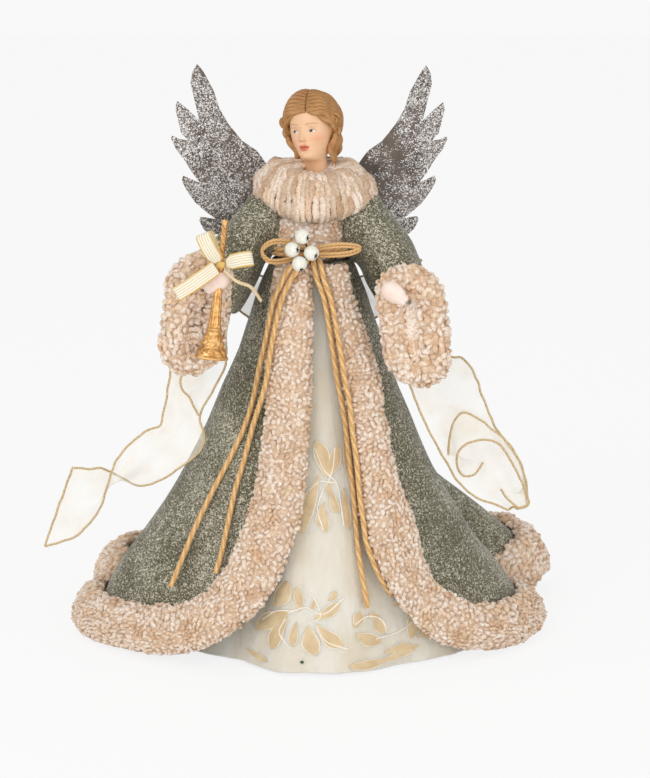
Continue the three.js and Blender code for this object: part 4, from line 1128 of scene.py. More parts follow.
# %% Collar's lie
dip, droop = 6 * mm, 3.5 * mm
for piece in (collar_base, collar_tubes):
    for vertex in piece.data.vertices:
        x, y = vertex.co.x - neck_place[0], vertex.co.y - neck_place[1]
        out = math.hypot(x, y)
        facing = max(0.0, (0.35 * x - y) / out)
        vertex.co.z -= dip * facing * min(1, max(0, (32 * mm - out) / (18 * mm)))
        vertex.co.z -= droop * max(0.0, x / out) * min(1, max(0, (out - 22 * mm) / (14 * mm)))
        widening = 0.2 if x > 0 else 0.07
        vertex.co.x += x * widening * min(1, out / (24 * mm))
dress(collar_base, "figure", knitted, "looped_yarn", "collar")
dress(collar_tubes, "figure", yarn, "looped_yarn")
print("tubes", len(tubes), "faces", len(collar_tubes.data.polygons))

# %% [markdown]
# ## Belt, bow and berries
# Two turns of the same twine belt the waist. In front they end in a flat bow: a knot of three tight
# wraps and two open loops, each made of a pair of strands that lie side by side.

# %% Belt and bow
knot_place = np.array([-2, -30.9, 283.5])
bow_reach = 42
bow_shares = {
    "left": [
        (-0.05, 0.02, 0.03), (-0.36, 0.14, 0.18), (-0.62, 0.16, 0.17), (-0.76, 0.1, 0.02),
        (-0.64, 0.14, -0.13), (-0.38, 0.1, -0.13), (-0.05, 0, -0.05),
    ],
    "right": [
        (0.05, 0.02, 0.04), (0.36, 0.1, 0.11), (0.66, 0.06, 0.11), (0.84, 0, 0.05),
        (0.66, 0.06, -0.02), (0.36, 0.1, -0.04), (0.05, 0.02, -0.05),
    ],
}


def paired_twine(name, points, apart, width=1.9 * mm):
    parts = []
    for number, shift in enumerate((-np.array(apart), np.array(apart))):
        moved = smooth_route((np.array(points) + shift) * mm, 0.8 * mm)
        parts.append(twisted_twine(f"{name}_{number}", moved, width, 2, 5 * mm, number))
    return join_pieces(parts, name)


for side, shares in bow_shares.items():
    route = [knot_place + bow_reach * np.array([x, -forward, up]) for x, forward, up in shares]
    bow_loop = paired_twine(f"bow_{side}", route, (0, -0.3, 1.05))
    dress(bow_loop, "figure", jute, "twine", f"bow_loop_{side}")

waist_wide, waist_deep, belt_height, belt_gap = 29.2, 24.6, 281, 0.06
belt_turns = np.linspace(belt_gap, 2 * math.pi - belt_gap, 40) - 0.07
belt_route = [(waist_wide * math.sin(a), -waist_deep * math.cos(a), belt_height) for a in belt_turns]
belt = paired_twine("belt", belt_route, (0, 0, 1.7), 3.2 * mm)
dress(belt, "figure", jute, "twine", "waist_twine")

wraps = []
for number, (lean, radius) in enumerate(((0.2, 3.4), (0.9, 3.8), (-0.6, 3.6))):
    ring = []
    for a in np.linspace(0, 2 * math.pi * 0.97, 14):
        out, up = radius * math.cos(a), radius * math.sin(a)
        ring.append(knot_place + np.array([up * math.sin(lean), out, up * math.cos(lean)]))
    wrap_route = smooth_route(np.array(ring) * mm, 0.8 * mm)
    wraps.append(twisted_twine(f"wrap_{number}", wrap_route, 2.8 * mm, 3, 6 * mm))
dress(join_pieces(wraps, "knot"), "figure", jute, "twine", "bow_knot")
print("bow tied")

# %% [markdown]
# Four off-white berries sit on the knot, on short stems. A berry is a ball with a pushed-in tip, and
# a dark calyx of split leaves stands in the dent. One berry is modelled with the face that will
# become the dent pointing up, then copied and turned four ways.

# %% Berries
berry_width = 10.4
berry_shares = [(-0.38, -1.5, 1.24), (-1.06, -1.52, 0.38), (0.2, -1.56, 0.16), (-0.58, -1.86, -0.5)]
berry_tips = [(0.75, -0.75, -0.1), (0.8, -0.7, 0.1), (0.65, -0.8, -0.3), (0.3, -0.75, -0.75)]


def berry_ball(name):
    berry = ball(name, berry_width / 2 * mm, 32, 20)
    for vertex in berry.data.vertices:
        up = vertex.co.normalized().z
        dent = 0.16 * math.exp(-((1 - up) / 0.02))
        vertex.co *= 1 - dent + 0.02 * noise.noise(vertex.co / (2.2 * mm))
    berry.data.shade_smooth()
    return berry


def calyx(name):
    """Five split leaves of bark, each a small closed wedge."""
    wedge = ((0, 2, 3), (2, 1, 3), (1, 4, 3), (4, 0, 3), (0, 4, 1, 2))
    foot = Vector((0, 0, 4.5))
    verts, faces = [], []
    for k in range(5):
        a = 2 * math.pi * k / 5 + 0.3 * (k % 2)
        ahead = Vector((math.cos(a), math.sin(a), 0))
        across = Vector((-math.sin(a), math.cos(a), 0)) * 0.55
        top = Vector((0, 0, 6.1)) + ahead * (2.1 + 0.6 * (k % 2))
        first = len(verts)
        verts += [foot + across, foot - across, foot + ahead * 1.5, top, foot - ahead * 0.2]
        faces += [tuple(first + corner for corner in face) for face in wedge]
    return closed_mesh(name, [v * mm for v in verts], faces)


def set_on(piece, place, direction):
    turn = Vector(direction).to_track_quat("Z", "Y").to_matrix()
    for vertex in piece.data.vertices:
        vertex.co = turn @ vertex.co + Vector(place)
    piece.data.update()


berry_colours = [(0.35, tone(228, 222, 206)), (0.6, tone(244, 241, 232))]
berry_skin = grained_finish(
    "berry_skin", 900, 3, berry_colours, 0.35, 0.25 * mm, Roughness=0.55, Subsurface_Weight=0.1,
)
bark_colours = [(0.3, tone(24, 20, 18)), (0.7, tone(74, 58, 44))]
bark = grained_finish("calyx_bark", 700, 2, bark_colours, Roughness=0.7)
stem_radius = 0.6 * mm
for number, (share, tip) in enumerate(zip(berry_shares, berry_tips), 1):
    away = berry_width * np.array(share)
    place = (knot_place + away) * mm
    berry, leaf = berry_ball(f"berry_ball_{number}"), calyx(f"calyx_{number}")
    stem_route = smooth_route([knot_place * mm, (knot_place + away * 0.5) * mm, place], 1 * mm)
    stem_rings = ring_grid(stem_route, np.full((len(stem_route), 6), stem_radius))
    stem = skin(f"stem_{number}", stem_rings, wrap=True, caps=True)
    for piece in (berry, leaf):
        set_on(piece, place, tip)
    dress(berry, "figure", berry_skin, "berry", f"berry_{number}")
    dress(leaf, "figure", bark, "berry")
    dress(stem, "figure", bark, "berry")
print("berries", len(berry_shares))

# %% [markdown]
# ## Head
# The doll's head is cast resin, painted by hand. It is one skin of level rings, from the crown down
# to the foot of the neck. The rings lie close together on the face, and their points crowd towards
# the front. The brow, the eye sockets, the nose, the lips and the chin are soft swellings and dents
# that are added to that plain form, each with its own place, reach and height.

# %% Rings of the head
head_turn, head_lean = math.radians(-25), math.radians(6.5)
# height, half width, reach to the front, reach to the back
head_rows = np.array([
    (389, 1.5, 1.5, 1.5), (387, 6, 6.5, 7), (382, 9.8, 10.8, 11), (377, 12.2, 13.6, 14),
    (371, 13.3, 15.2, 15.2), (365, 13.4, 15.4, 15.5), (359, 12.9, 15.4, 14.5),
    (354.5, 11.6, 15.2, 11.8), (351, 10.1, 14.9, 9), (348, 8.6, 14.3, 7.2), (345.6, 7.3, 13, 6.4),
    (344, 6.8, 10.6, 6.2), (343, 6.7, 7.6, 6.4), (341, 6.7, 5.4, 7), (337, 6.8, 4.4, 8),
    (331, 7.3, 3.6, 9.2), (325.8, 8.4, 3.2, 10),
])
# where a feature is beside the middle and in height, its reach both ways, and how far it stands out
paired_features = {
    "side of the nose": ((1.8, 356.2), (0.9, 0.9), 1.2),
    "eye socket": ((5.2, 364.4), (2.9, 1.9), -1.5),
    "eyeball": ((5.6, 363.3), (1.9, 1.0), 1.0),
    "lid's crease": ((5.6, 365.0), (2.4, 0.3), -0.25),
    "brow": ((5.6, 368.2), (3.6, 1.3), 0.5),
    "cheek": ((7.4, 357), (3.8, 3.6), 0.9),
    "upper lip": ((1.3, 352.7), (1.5, 0.7), 1.0),
}
middle_features = {
    "lower lip": ((0, 350.7), (2.2, 0.8), 1.25),
    "line of the mouth": ((0, 351.7), (2.9, 0.25), -0.6),
    "groove under the nose": ((0, 354), (0.5, 0.8), -0.3),
    "dent under the lip": ((0, 349), (2.8, 0.7), -0.6),
    "chin": ((0, 346.4), (2.8, 1.6), 1.0),
}
nose_heights, nose_line = [368.5, 365, 361, 358, 357, 355.9, 355], [0, 0.7, 1.7, 3.0, 3.3, 2.2, 0]
# the features in these tables are moved from the second row of heights to the first one
real_heights = [338, 344, 353.2, 357.9, 363.8, 368.9, 380]
table_heights = [338, 344, 351.7, 355.7, 363.3, 368.4, 380]


def ring_heights():
    crown, neck = np.arange(389, 372, -0.9), np.arange(343, 325.5, -0.8)
    face = np.arange(372, 343, -0.27)
    return np.concatenate([crown, face, neck])


def swell(x, z, at, reach, height):
    return height * np.exp(-(((x - at[0]) / reach[0]) ** 2) - (((z - at[1]) / reach[1]) ** 2))


def face_relief(x, z):
    ridge = np.interp(-z, -np.array(nose_heights), nose_line)
    ridge_width = np.interp(-z, [-366, -358, -356], [1.25, 1.5, 1.7])
    relief = ridge * np.exp(-((x / ridge_width) ** 2))
    for feature in paired_features.values():
        relief += swell(np.abs(x), z, *feature)
    for feature in middle_features.values():
        relief += swell(x, z, *feature)
    return relief


def to_features(x, z):
    """From a place on the face to its place in the tables: the real features are also wider."""
    return x / 1.15, np.interp(z, real_heights, table_heights)


def head_grid():
    spread = np.linspace(-math.pi, math.pi, 190, endpoint=False)
    turn = spread - 0.55 * np.sin(spread)
    z = ring_heights()[:, None] + 0 * turn[None, :]
    wide, front, back = [np.interp(-z, -head_rows[:, 0], head_rows[:, k]) for k in (1, 2, 3)]
    for table in (wide, front, back):
        table[2:-2] = (table[:-4] + table[1:-3] + table[2:-2] + table[3:-1] + table[4:]) / 5
    broad = np.interp(-z, [-366, -350, -343, -326], [1.1, 1.1, 1.22, 1.2])
    x = wide * broad * np.sin(turn)
    front, back = front * (0.96 + (broad - 1) * 0.9), back * broad
    forward = np.where(np.cos(turn) > 0, front, back) * np.cos(turn)
    forward = forward + 1.1 * face_relief(*to_features(x, z)) * np.clip(np.cos(turn) * 1.6, 0, 1)
    return x, -forward, z


def turned_head(x, y, z):
    """Leans and turns the upright head and sets it on the neck."""
    lean = head_lean * np.clip((z - 330) / 16, 0, 1)
    x, z = x * np.cos(lean) - (z - 350) * np.sin(lean), z + x * np.sin(lean)
    c, s = math.cos(head_turn), math.sin(head_turn)
    return np.stack([x * c - y * s + 1.9, x * s + y * c - 4, z], axis=-1) * mm


head_places = head_grid()
head = skin("painted_head", turned_head(*head_places), wrap=True, caps=True)
print("head faces", len(head.data.polygons))

# %% [markdown]
# The paint is a colour on each point. Masks with soft edges lay it on in the painter's order: skin with
# a painted shade on the neck under the jaw, a blush on the cheeks, the lips, the whites of the eyes, the
# dark irises, the lid lines, the brows, and a painted shade in the nostrils.

# %% Paint on the face
eye_out, eye_height, mouth_height, brow_height = 5.5, 363.4, 351.7, 368.6


def soft(value, edge=0.14):
    return np.clip(0.5 + value / edge, 0, 1)


def brushed(colours, mask, paint):
    return colours + mask[..., None] * (np.array(paint[:3]) - colours)


def skin_paint(x, z, front):
    side = np.abs(x)
    colours = np.zeros((*x.shape, 3)) + np.array(tone(234, 190, 150)[:3])
    # painted shade on the neck under the jaw
    colours = brushed(colours, soft(343.5 - z, 3) * 0.4, tone(222, 176, 138))
    colours = brushed(colours, swell(side, z, (8.2, 357), (3.4, 3.6), 0.5) * front, tone(234, 150, 118))
    return brushed(colours, swell(x, z, (0, 357), (1.6, 1.4), 0.3) * front, tone(236, 168, 134))


def mouth_paint(colours, x, z, front):
    side = np.abs(x)
    across = np.clip(side / 3.3, 0, 1)
    upper = 353.4 - 1.3 * across**2 - 0.4 * np.exp(-((x / 0.6) ** 2))
    lower = 349.7 + 1.7 * across**2.2
    both_lips = soft(upper - z) * soft(z - lower) * soft(3.3 - side) * front
    between = soft(0.16 - np.abs(z - mouth_height)) * soft(2.9 - side) * front
    colours = brushed(colours, both_lips, tone(216, 118, 98))
    return brushed(colours, between, tone(150, 62, 50))


def eye_paint(colours, x, z, front):
    side = np.abs(x)
    eye = np.clip((side - eye_out) / 2.3, -1, 1) ** 2
    top, bottom = eye_height + 1.1 * (1 - eye), eye_height - 0.1 - 0.8 * (1 - eye)
    opening = soft(top - z) * soft(z - bottom) * soft(2.3 - np.abs(side - eye_out)) * front
    off_iris = np.hypot(x - np.where(x < 0, -5.9, 5.1), z - eye_height)
    lid = soft(0.2 - np.abs(z - top)) * soft(2.5 - np.abs(side - eye_out)) * front
    brow = brow_height - 0.045 * (side - 5.6) ** 2
    brow_line = soft(0.26 - np.abs(z - brow)) * soft(3.2 - np.abs(side - 5.4)) * front
    colours = brushed(colours, opening, tone(238, 232, 224))
    colours = brushed(colours, soft(1.0 - off_iris) * opening, tone(74, 70, 92))
    colours = brushed(colours, soft(0.55 - off_iris) * opening, tone(22, 18, 22))
    colours = brushed(colours, lid * 0.9, tone(96, 62, 48))
    return brushed(colours, brow_line * 0.75, tone(160, 98, 66))


def face_paint(x, y, z):
    front = soft(-y - 2, 4)
    x, z = to_features(x, z)
    colours = skin_paint(x, z, front)
    colours = mouth_paint(colours, x, z, front)
    colours = eye_paint(colours, x, z, front)
    # painted shade in the nostrils
    nostril = swell(np.abs(x), z, (1.0, 355.4), (0.5, 0.3), 0.5) * front
    return brushed(colours, nostril, tone(186, 112, 84))


def painted_finish():
    material, shader = finish("painted_resin", Roughness=0.5, Coat_Weight=0.08, Coat_Roughness=0.4)
    paint = block(material, "ShaderNodeAttribute", attribute_name="paint").outputs["Color"]
    mottle = cloud(material, places(material), 260, 2)
    shade = ramp(material, mottle, [(0.3, level(0.95)), (0.7, level(1.0))])
    feed(material, mixed(material, 1.0, paint, shade, "MULTIPLY"), shader)
    bumped(material, shader, cloud(material, places(material), 1400, 2), 0.06, 0.2 * mm)
    return material


colour_points(head, "paint", face_paint(*head_places))
dress(head, "figure", painted_finish(), "skin", "head")
print("face painted")

# %% [markdown]
# ## Hair
# The hair is cast with the head and combed in deep waves from a parting to both sides. A cap closes
# the head, and locks lie over it. A lock starts at the parting, swings round the skull and ends
# behind the jaw. Its route is a path between three directions from the middle of the head, pushed
# out to the hair's surface, with a wave on top.

# %% Locks of hair
hair_middle = np.array([0, 1.5, 368])


def hair_surface(direction, out):
    d = np.array(direction, float)
    d /= np.linalg.norm(d)
    reach = np.array([19.2, 19.4 if d[1] > 0 else 18.4, 20.8])
    return hair_middle + d * (reach + out)


def heading(around, down):
    """A direction this many degrees round from the face, and down from the crown."""
    around, down = math.radians(around), math.radians(down)
    return np.array([math.sin(down) * math.sin(around), -math.sin(down) * math.cos(around), math.cos(down)])


def lock_route(start, middle, end, wave, phase, out):
    points = []
    for t in np.linspace(0, 1, 34):
        d = (1 - t) ** 2 * start + 2 * t * (1 - t) * middle + t**2 * end
        swing = math.sin(2 * math.pi * (1.6 * t + phase)) * wave * math.sin(math.pi * min(1, t * 1.3)) ** 0.5
        lift = out + 0.7 * math.sin(2 * math.pi * (1.6 * t + phase) + 1.2) * wave
        points.append(hair_surface(d, lift) + np.array([0, 0, 1.3 * swing]))
    return np.array(points)


def lock(name, route, thick, tip=0.3):
    run = np.linspace(0, 1, len(route))
    body = thick * np.sin(math.pi * np.clip(0.12 + 0.86 * run, 0, 1)) ** 0.6 * (1 - (1 - tip) * run**3)
    turns = full_circle(14)
    comb = 1 + 0.13 * np.cos(5 * turns[None, :] + 2.2 * run[:, None])
    local = turned_head(route[:, 0], route[:, 1], route[:, 2])
    return skin(name, ring_grid(local, body[:, None] * comb * mm, 0.72), wrap=True, caps=True)


locks = []
for side in (-1, 1):
    for k in np.linspace(0, 1, 13):
        start = heading(side * 2 + 12, 62 - 84 * k)
        middle = heading(side * (60 + 66 * k), 70 + 8 * k)
        end = heading(side * (93 + 80 * k), 122 + 6 * math.sin(9 * k))
        wave = 1.0 + 0.4 * math.sin(5 * k + side)
        for layer in (0, 1):
            route = lock_route(start, middle, end, wave, 0.9 * k + 0.5 * layer, -0.9 + 1.2 * layer)
            locks.append(lock(f"lock_{len(locks)}", route, 2.7 - 0.6 * layer))
print("combed locks", len(locks))

# %% [markdown]
# The ends of the locks are tucked into curls, each a flat spiral, and shorter falls of hair hang
# from the curls to the neck. Both are locks of the same kind on other routes.

# %% Curls and falls
curls = ((78, 84, 3.6), (86, 104, 3.4), (94, 122, 3.2), (112, 136, 3.0), (140, 140, 3.2), (168, 142, 3.2))
falls = ((76, 1), (88, 2), (100, 0), (116, -1), (136, -3), (160, -4))


def curl_route(side, around, down, size, phase):
    middle = hair_surface(heading(side * around, down), 0.9)
    route = []
    for t in np.linspace(0, 1, 26):
        a = side * (2.6 * math.pi * t + phase)
        r = size * (1 - 0.75 * t)
        route.append(middle + np.array([r * math.cos(a) * 0.8, -1.4 * t, r * math.sin(a)]))
    return np.array(route)


def fall_route(side, around, drop):
    top = hair_surface(heading(side * around, 112), -0.4)
    route = []
    for t in np.linspace(0, 1, 26):
        aside = -side * 4.8 * t + side * 1.6 * math.sin(8 * t + around)
        route.append(top + np.array([aside, 1.5 * t, -(20 + drop) * t]))
    return np.array(route)


for side in (-1, 1):
    for k, (around, down, size) in enumerate(curls):
        locks.append(lock(f"curl_{len(locks)}", curl_route(side, around, down, size, k), 1.7, 0.5))
    for around, drop in falls:
        locks.append(lock(f"fall_{len(locks)}", fall_route(side, around, drop), 2.5, 0.35))
hair = join_pieces(locks, "combed_hair")
print("locks", len(locks), "faces", len(hair.data.polygons))

# %% Cap under the locks
def cap_grid():
    rows = []
    for down in np.linspace(3, 146, 44):
        ring = []
        for around in np.linspace(-180, 180, 96, endpoint=False):
            open_face = min(1.0, max(0.0, (74 - abs(around)) / 8)) * min(1.0, max(0.0, (down - 52) / 10))
            place = hair_surface(heading(around, down), -1.9)
            ring.append(hair_middle + (place - hair_middle) * (1 - 0.3 * open_face))
        rows.append(ring)
    rows = np.array(rows)
    return turned_head(rows[..., 0], rows[..., 1], rows[..., 2])


def hair_finish():
    material, shader = finish("painted_hair", Roughness=0.55)
    comb = cloud(material, places(material, (7, 1.3, 1), "UV"), 2.6, 3, 0.6)
    broad = maths(material, "MULTIPLY", cloud(material, places(material), 110, 3), 0.5)
    gold = ramp(material, comb, [
        (0.3, tone(118, 76, 38)), (0.5, tone(178, 130, 78)), (0.7, tone(222, 178, 118)),
    ])
    feed(material, mixed(material, broad, gold, tone(168, 112, 58)), shader)
    bumped(material, shader, comb, 0.5, 0.6 * mm)
    return material


cap = skin("hair_cap", cap_grid(), wrap=True, caps=True)
hair_skin = hair_finish()
dress(hair, "figure", hair_skin, "hair")
dress(cap, "figure", hair_skin, "hair", "hair")
print("hair done")

# %% [markdown]
# ## Hands
# Only smooth mittens of pale resin leave the cuffs, with shallow grooves between the fingers. A copy
# of each solid is subdivided, and the grooves are pressed in along the hand's own length.

# %% Hands
def pale_resin():
    material, shader = finish("pale_resin", Roughness=0.45, Subsurface_Weight=0.08)
    blush = cloud(material, places(material), 70, 2)
    colour = ramp(material, blush, [(0.35, tone(242, 214, 200)), (0.65, tone(250, 230, 218))])
    feed(material, colour, shader)
    bumped(material, shader, cloud(material, places(material), 1200, 2), 0.05, 0.2 * mm)
    return material


def press_fingers(hand, points, middle, axes):
    """Grooves along the hand's first axis, deeper towards the fingertips, which are in front."""
    along, across = (points - middle) @ axes[0], (points - middle) @ axes[1]
    reach = (along - along.min()) / (along.max() - along.min())
    tips_first = points[reach > 0.9][:, 1].mean() < points[reach < 0.1][:, 1].mean()
    to_tip = reach if tips_first else 1 - reach
    groove = np.cos(across / np.abs(across).max() * 3.2 * math.pi) * np.clip(to_tip * 2.2 - 1.0, 0, 1)
    for vertex, depth in zip(hand.data.vertices, groove):
        vertex.co -= vertex.normal * float(max(depth, 0)) * groove_depth


# each hand is made wider and thicker, a little shorter, and moved ahead out of its cuff
groove_depth, hand_growth, hand_shortening = 0.35 * mm, 1.5, 0.62
hand_shift = {"left": Vector((-0.5, -5.0, 0.5)) * mm, "right": Vector((0, -1.5, 1.0)) * mm}
resin = pale_resin()
for side, shift in hand_shift.items():
    hand = cad_copy(f"hand_{side}", f"hand_skin_{side}")
    rounded(hand, 3)
    points = points_of(hand)
    middle = points.mean(axis=0)
    axes = np.linalg.svd(points - middle, full_matrices=False)[2]
    press_fingers(hand, points, middle, axes)
    middle, long_way = Vector(middle), Vector(axes[0])
    for vertex in hand.data.vertices:
        away = vertex.co - middle
        shorter = long_way * away.dot(long_way) * hand_shortening
        vertex.co = middle + away * hand_growth - shorter + shift
    dress(hand, f"arm_{side}", resin, "skin", f"hand_{side}")
    print(hand.name, "faces", len(hand.data.polygons))

# %% [markdown]
# ## Trumpet
# The horn is turned round its own axis, like work on a lathe, and then carved. The stem has a rope
# twist, the middle is plain with two collars, and the bell carries raised leaves in two rows. All
# of that is one table of radii, with the carving added as waves round the axis.

# %% Trumpet
horn_mouth = np.array([-67, -78.4, 219.4])
horn_axis = unit(np.array([0.1087, 0.087, 1.0]))
horn_length, horn_radius = 93, 11.4
# place along the horn and radius, as shares: the inner bell first, then the outside up to the top
horn_inside = [
    (0.16, 0.01), (0.15, 0.22), (0.11, 0.42), (0.07, 0.6), (0.03, 0.78), (0.005, 0.9), (-0.004, 0.95),
]
horn_outside = [
    (-0.002, 0.99), (0.004, 1), (0.014, 0.96), (0.022, 0.89), (0.05, 0.77), (0.09, 0.64),
    (0.14, 0.535), (0.19, 0.43), (0.205, 0.46), (0.215, 0.46), (0.225, 0.36), (0.3, 0.315),
    (0.4, 0.27), (0.5, 0.225), (0.545, 0.2), (0.55, 0.25), (0.562, 0.25), (0.57, 0.19),
    (0.62, 0.185), (0.64, 0.22), (0.655, 0.22), (0.665, 0.165), (0.8, 0.155), (0.955, 0.14),
    (0.962, 0.17), (0.98, 0.18), (0.995, 0.17), (1, 0.14), (1.002, 0.08), (0.99, 0.02),
]


def finely(rows, step):
    """The same profile with a row about every step, measured in millimetres."""
    rows = np.array(rows)
    spans = np.diff(rows, axis=0) * (horn_length, horn_radius)
    run = np.concatenate([[0], np.cumsum(np.hypot(*spans.T))])
    return sampled(rows, np.linspace(0, run[-1], int(run[-1] / step)), run)


def hump(z, low, high):
    """Rises and falls once between these two places along the horn."""
    return (z > low) * (z < high) * np.maximum(0, np.sin(math.pi * (z - low) / (high - low)))


def horn_grid():
    inner, outer = finely(horn_inside, 0.9), finely(horn_outside, 0.55)
    rows = np.vstack([inner, outer])
    turns = full_circle(96)
    around = turns[None, :]
    z, r = rows[:, :1], rows[:, 1:] * horn_radius + 0 * around
    outside = (np.arange(len(rows)) >= len(inner))[:, None]
    rope = outside * (z > 0.67) * (z < 0.95)
    r = r * (1 + rope * 0.26 * np.cos(3 * around + 2 * math.pi * 18 * z))
    flute = outside * (z > 0.22) * (z < 0.54)
    r = r * (1 + flute * 0.05 * np.cos(12 * around))
    low_leaves = hump(z, 0.03, 0.08) * np.abs(np.cos(5 * around + 40 * z)) ** 0.7
    high_leaves = hump(z, 0.08, 0.13) * np.abs(np.sin(6 * around - 50 * z)) ** 0.7
    beads = hump(z, 0.135, 0.175) * np.abs(np.cos(9 * around))
    r = r + outside * (1.1 * low_leaves + 1.0 * high_leaves + 0.8 * beads)
    aside = unit(np.cross(horn_axis, (0, 1, 0)))
    other = np.cross(horn_axis, aside)
    ring = r[:, :, None] * (np.cos(turns)[None, :, None] * aside + np.sin(turns)[None, :, None] * other)
    return (horn_mouth + z[:, :, None] * horn_length * horn_axis + ring) * mm


def gold_finish():
    material, shader = finish("antique_gold", Metallic=0.75)
    patina = cloud(material, places(material), 240, 4, 0.65)
    colour = ramp(material, patina, [
        (0.3, tone(150, 98, 48)), (0.5, tone(208, 158, 96)), (0.7, tone(242, 202, 142)),
    ])
    rough = maths(material, "ADD", 0.22, maths(material, "MULTIPLY", patina, 0.3))
    feed(material, colour, shader)
    feed(material, rough, shader, "Roughness")
    bumped(material, shader, patina, 0.25, 0.3 * mm)
    return material


horn = skin("horn", horn_grid(), wrap=True, caps=True)
dress(horn, "arm_left", gold_finish(), "gold_horn", "trumpet")
print("horn faces", len(horn.data.polygons))

# %% [markdown]
# ## Ribbon on the trumpet
# A cream ribbon with gold wired edges is tied under the stem. Each strip is a skin a few points wide
# with a slight hollow across it. Its stripes are drawn across the UV map, so they follow every bend.

# %% Ribbon strips
ribbon_width = 10
ribbon_knot_place = horn_mouth + 0.68 * horn_length * horn_axis
# for each strip the direction across it, its width as a share, and its route from the knot
ribbon_rows = {
    "ribbon_loop_up": ((1, 0.1, 0.35), 1, [
        (-0.2, -0.44, 0.2), (-0.75, -0.85, 1.2), (-1.1, -0.75, 2), (-0.9, -0.4, 2.05), (-0.4, -0.42, 0.6),
    ]),
    "ribbon_loop_side": ((-0.2, 0.2, 1), 1, [
        (0.36, -0.26, 0.1), (1.2, -0.7, 0.4), (2, -0.6, 0.5), (2.05, -0.25, 0.4), (1.1, -0.16, 0.25),
        (0.46, 0.04, 0.1),
    ]),
    "ribbon_tail": ((-0.55, 0.1, 0.84), 1, [
        (-0.3, -0.8, -0.1), (-1.3, -1.25, -0.75), (-2.1, -1.25, -1.3), (-2.95, -1.1, -1.85),
    ]),
    "ribbon_tail_side": ((0.5, 0.3, 0.8), 0.11, [
        (0.22, -0.3, -0.36), (1.05, -0.52, -1.05), (2, -0.3, -1.5), (2.7, -0.1, -2.5),
    ]),
}


def ribbon_finish():
    material, shader = finish("ribbon_weave", Roughness=0.55, Sheen_Weight=0.2)
    uv = split(material, places(material, source="UV"))
    off = maths(material, "ABSOLUTE", maths(material, "SUBTRACT", uv["X"], 0.5))
    border = maths(material, "GREATER_THAN", off, 0.42)
    # six waves across the ribbon, whose crests are the stripes
    waves = maths(material, "SINE", maths(material, "MULTIPLY", uv["X"], 37.7))
    stripe = maths(material, "MULTIPLY", maths(material, "GREATER_THAN", waves, 0.6), 0.6)
    threads = cloud(material, places(material, (60, 8, 1), "UV"), 3, 2)
    cream = ramp(material, threads, [(0.3, tone(234, 224, 198)), (0.7, tone(250, 244, 228))])
    lined = mixed(material, stripe, cream, tone(196, 164, 104))
    feed(material, mixed(material, border, lined, tone(222, 184, 100)), shader)
    bumped(material, shader, maths(material, "ADD", threads, border), 0.4, 0.3 * mm)
    return material


def ribbon_grid(route, wide, share):
    """A narrow strip is rolled into a fold, and a wide one is slightly hollow."""
    pinch = np.clip(np.linalg.norm(route - ribbon_knot_place * mm, axis=1) / (9 * mm), 0.45, 1)
    back = np.array([0, 1.0, 0]) * mm
    strip = []
    for s in np.linspace(-0.5, 0.5, 9):
        if share < 1:
            strip.append(route + wide * math.sin(4.4 * s) + back * math.cos(4.4 * s))
        else:
            strip.append(route + wide * s * pinch[:, None] + back * (0.25 - s * s) * 4)
    return np.stack(strip, axis=1)


ribbon_weave = ribbon_finish()
for name, (across, share, shares) in ribbon_rows.items():
    route = smooth_route((np.array(shares) * ribbon_width + ribbon_knot_place) * mm, 0.8 * mm)
    wide = unit(np.array(across, float)) * ribbon_width * share * mm
    piece = skin(f"{name}_strip", ribbon_grid(route, wide, share))
    apply_with(piece, "SOLIDIFY", thickness=0.25 * mm, offset=0)
    piece.data.shade_smooth()
    dress(piece, "arm_left", ribbon_weave, "ribbon", name)
band = cad_copy("ribbon_knot", "ribbon_band")
rounded(band, 1)
dress(band, "arm_left", ribbon_weave, "ribbon", "ribbon_knot")

# %% [markdown]
# ## Wings
# The wings are cut from a stiff brown sheet, a bit over a millimetre thick. A copy of each cut sheet
# gets soft edges, then it is bisected into a fine net of faces, because only faces that are small
# enough can follow a bend. The tips curl forward a little and a crease runs out from the root.

# %% Wings
def bisected(piece, step):
    shape = bmesh.new()
    shape.from_mesh(piece.data)
    low, high = [[f(v.co[k] for v in shape.verts) for k in range(3)] for f in (min, max)]
    for axis in (0, 2):
        normal = Vector([1.0 if k == axis else 0.0 for k in range(3)])
        for cut in np.arange(low[axis] + step, high[axis], step):
            everything = shape.verts[:] + shape.edges[:] + shape.faces[:]
            bmesh.ops.bisect_plane(shape, geom=everything, plane_co=normal * float(cut), plane_no=normal)
    shape.to_mesh(piece.data)
    shape.free()


def wing_bend(point):
    """How far a point moves back: the tip curls ahead, with a crease and slow waves."""
    out, up = max(0.0, abs(point.x) - 0.022), max(0.0, point.z - 0.30)
    off_crease = abs(point.x) - 0.018 - 0.25 * (point.z - 0.285)
    crease = 1.6 * mm * math.exp(-((off_crease / (3.5 * mm)) ** 2)) if out > 0 else 0
    ripple = 1.2 * mm * noise.noise(point / (26 * mm)) * min(1, out / 0.02)
    return ripple - crease - 0.81 * out * out - 0.25 * out * up


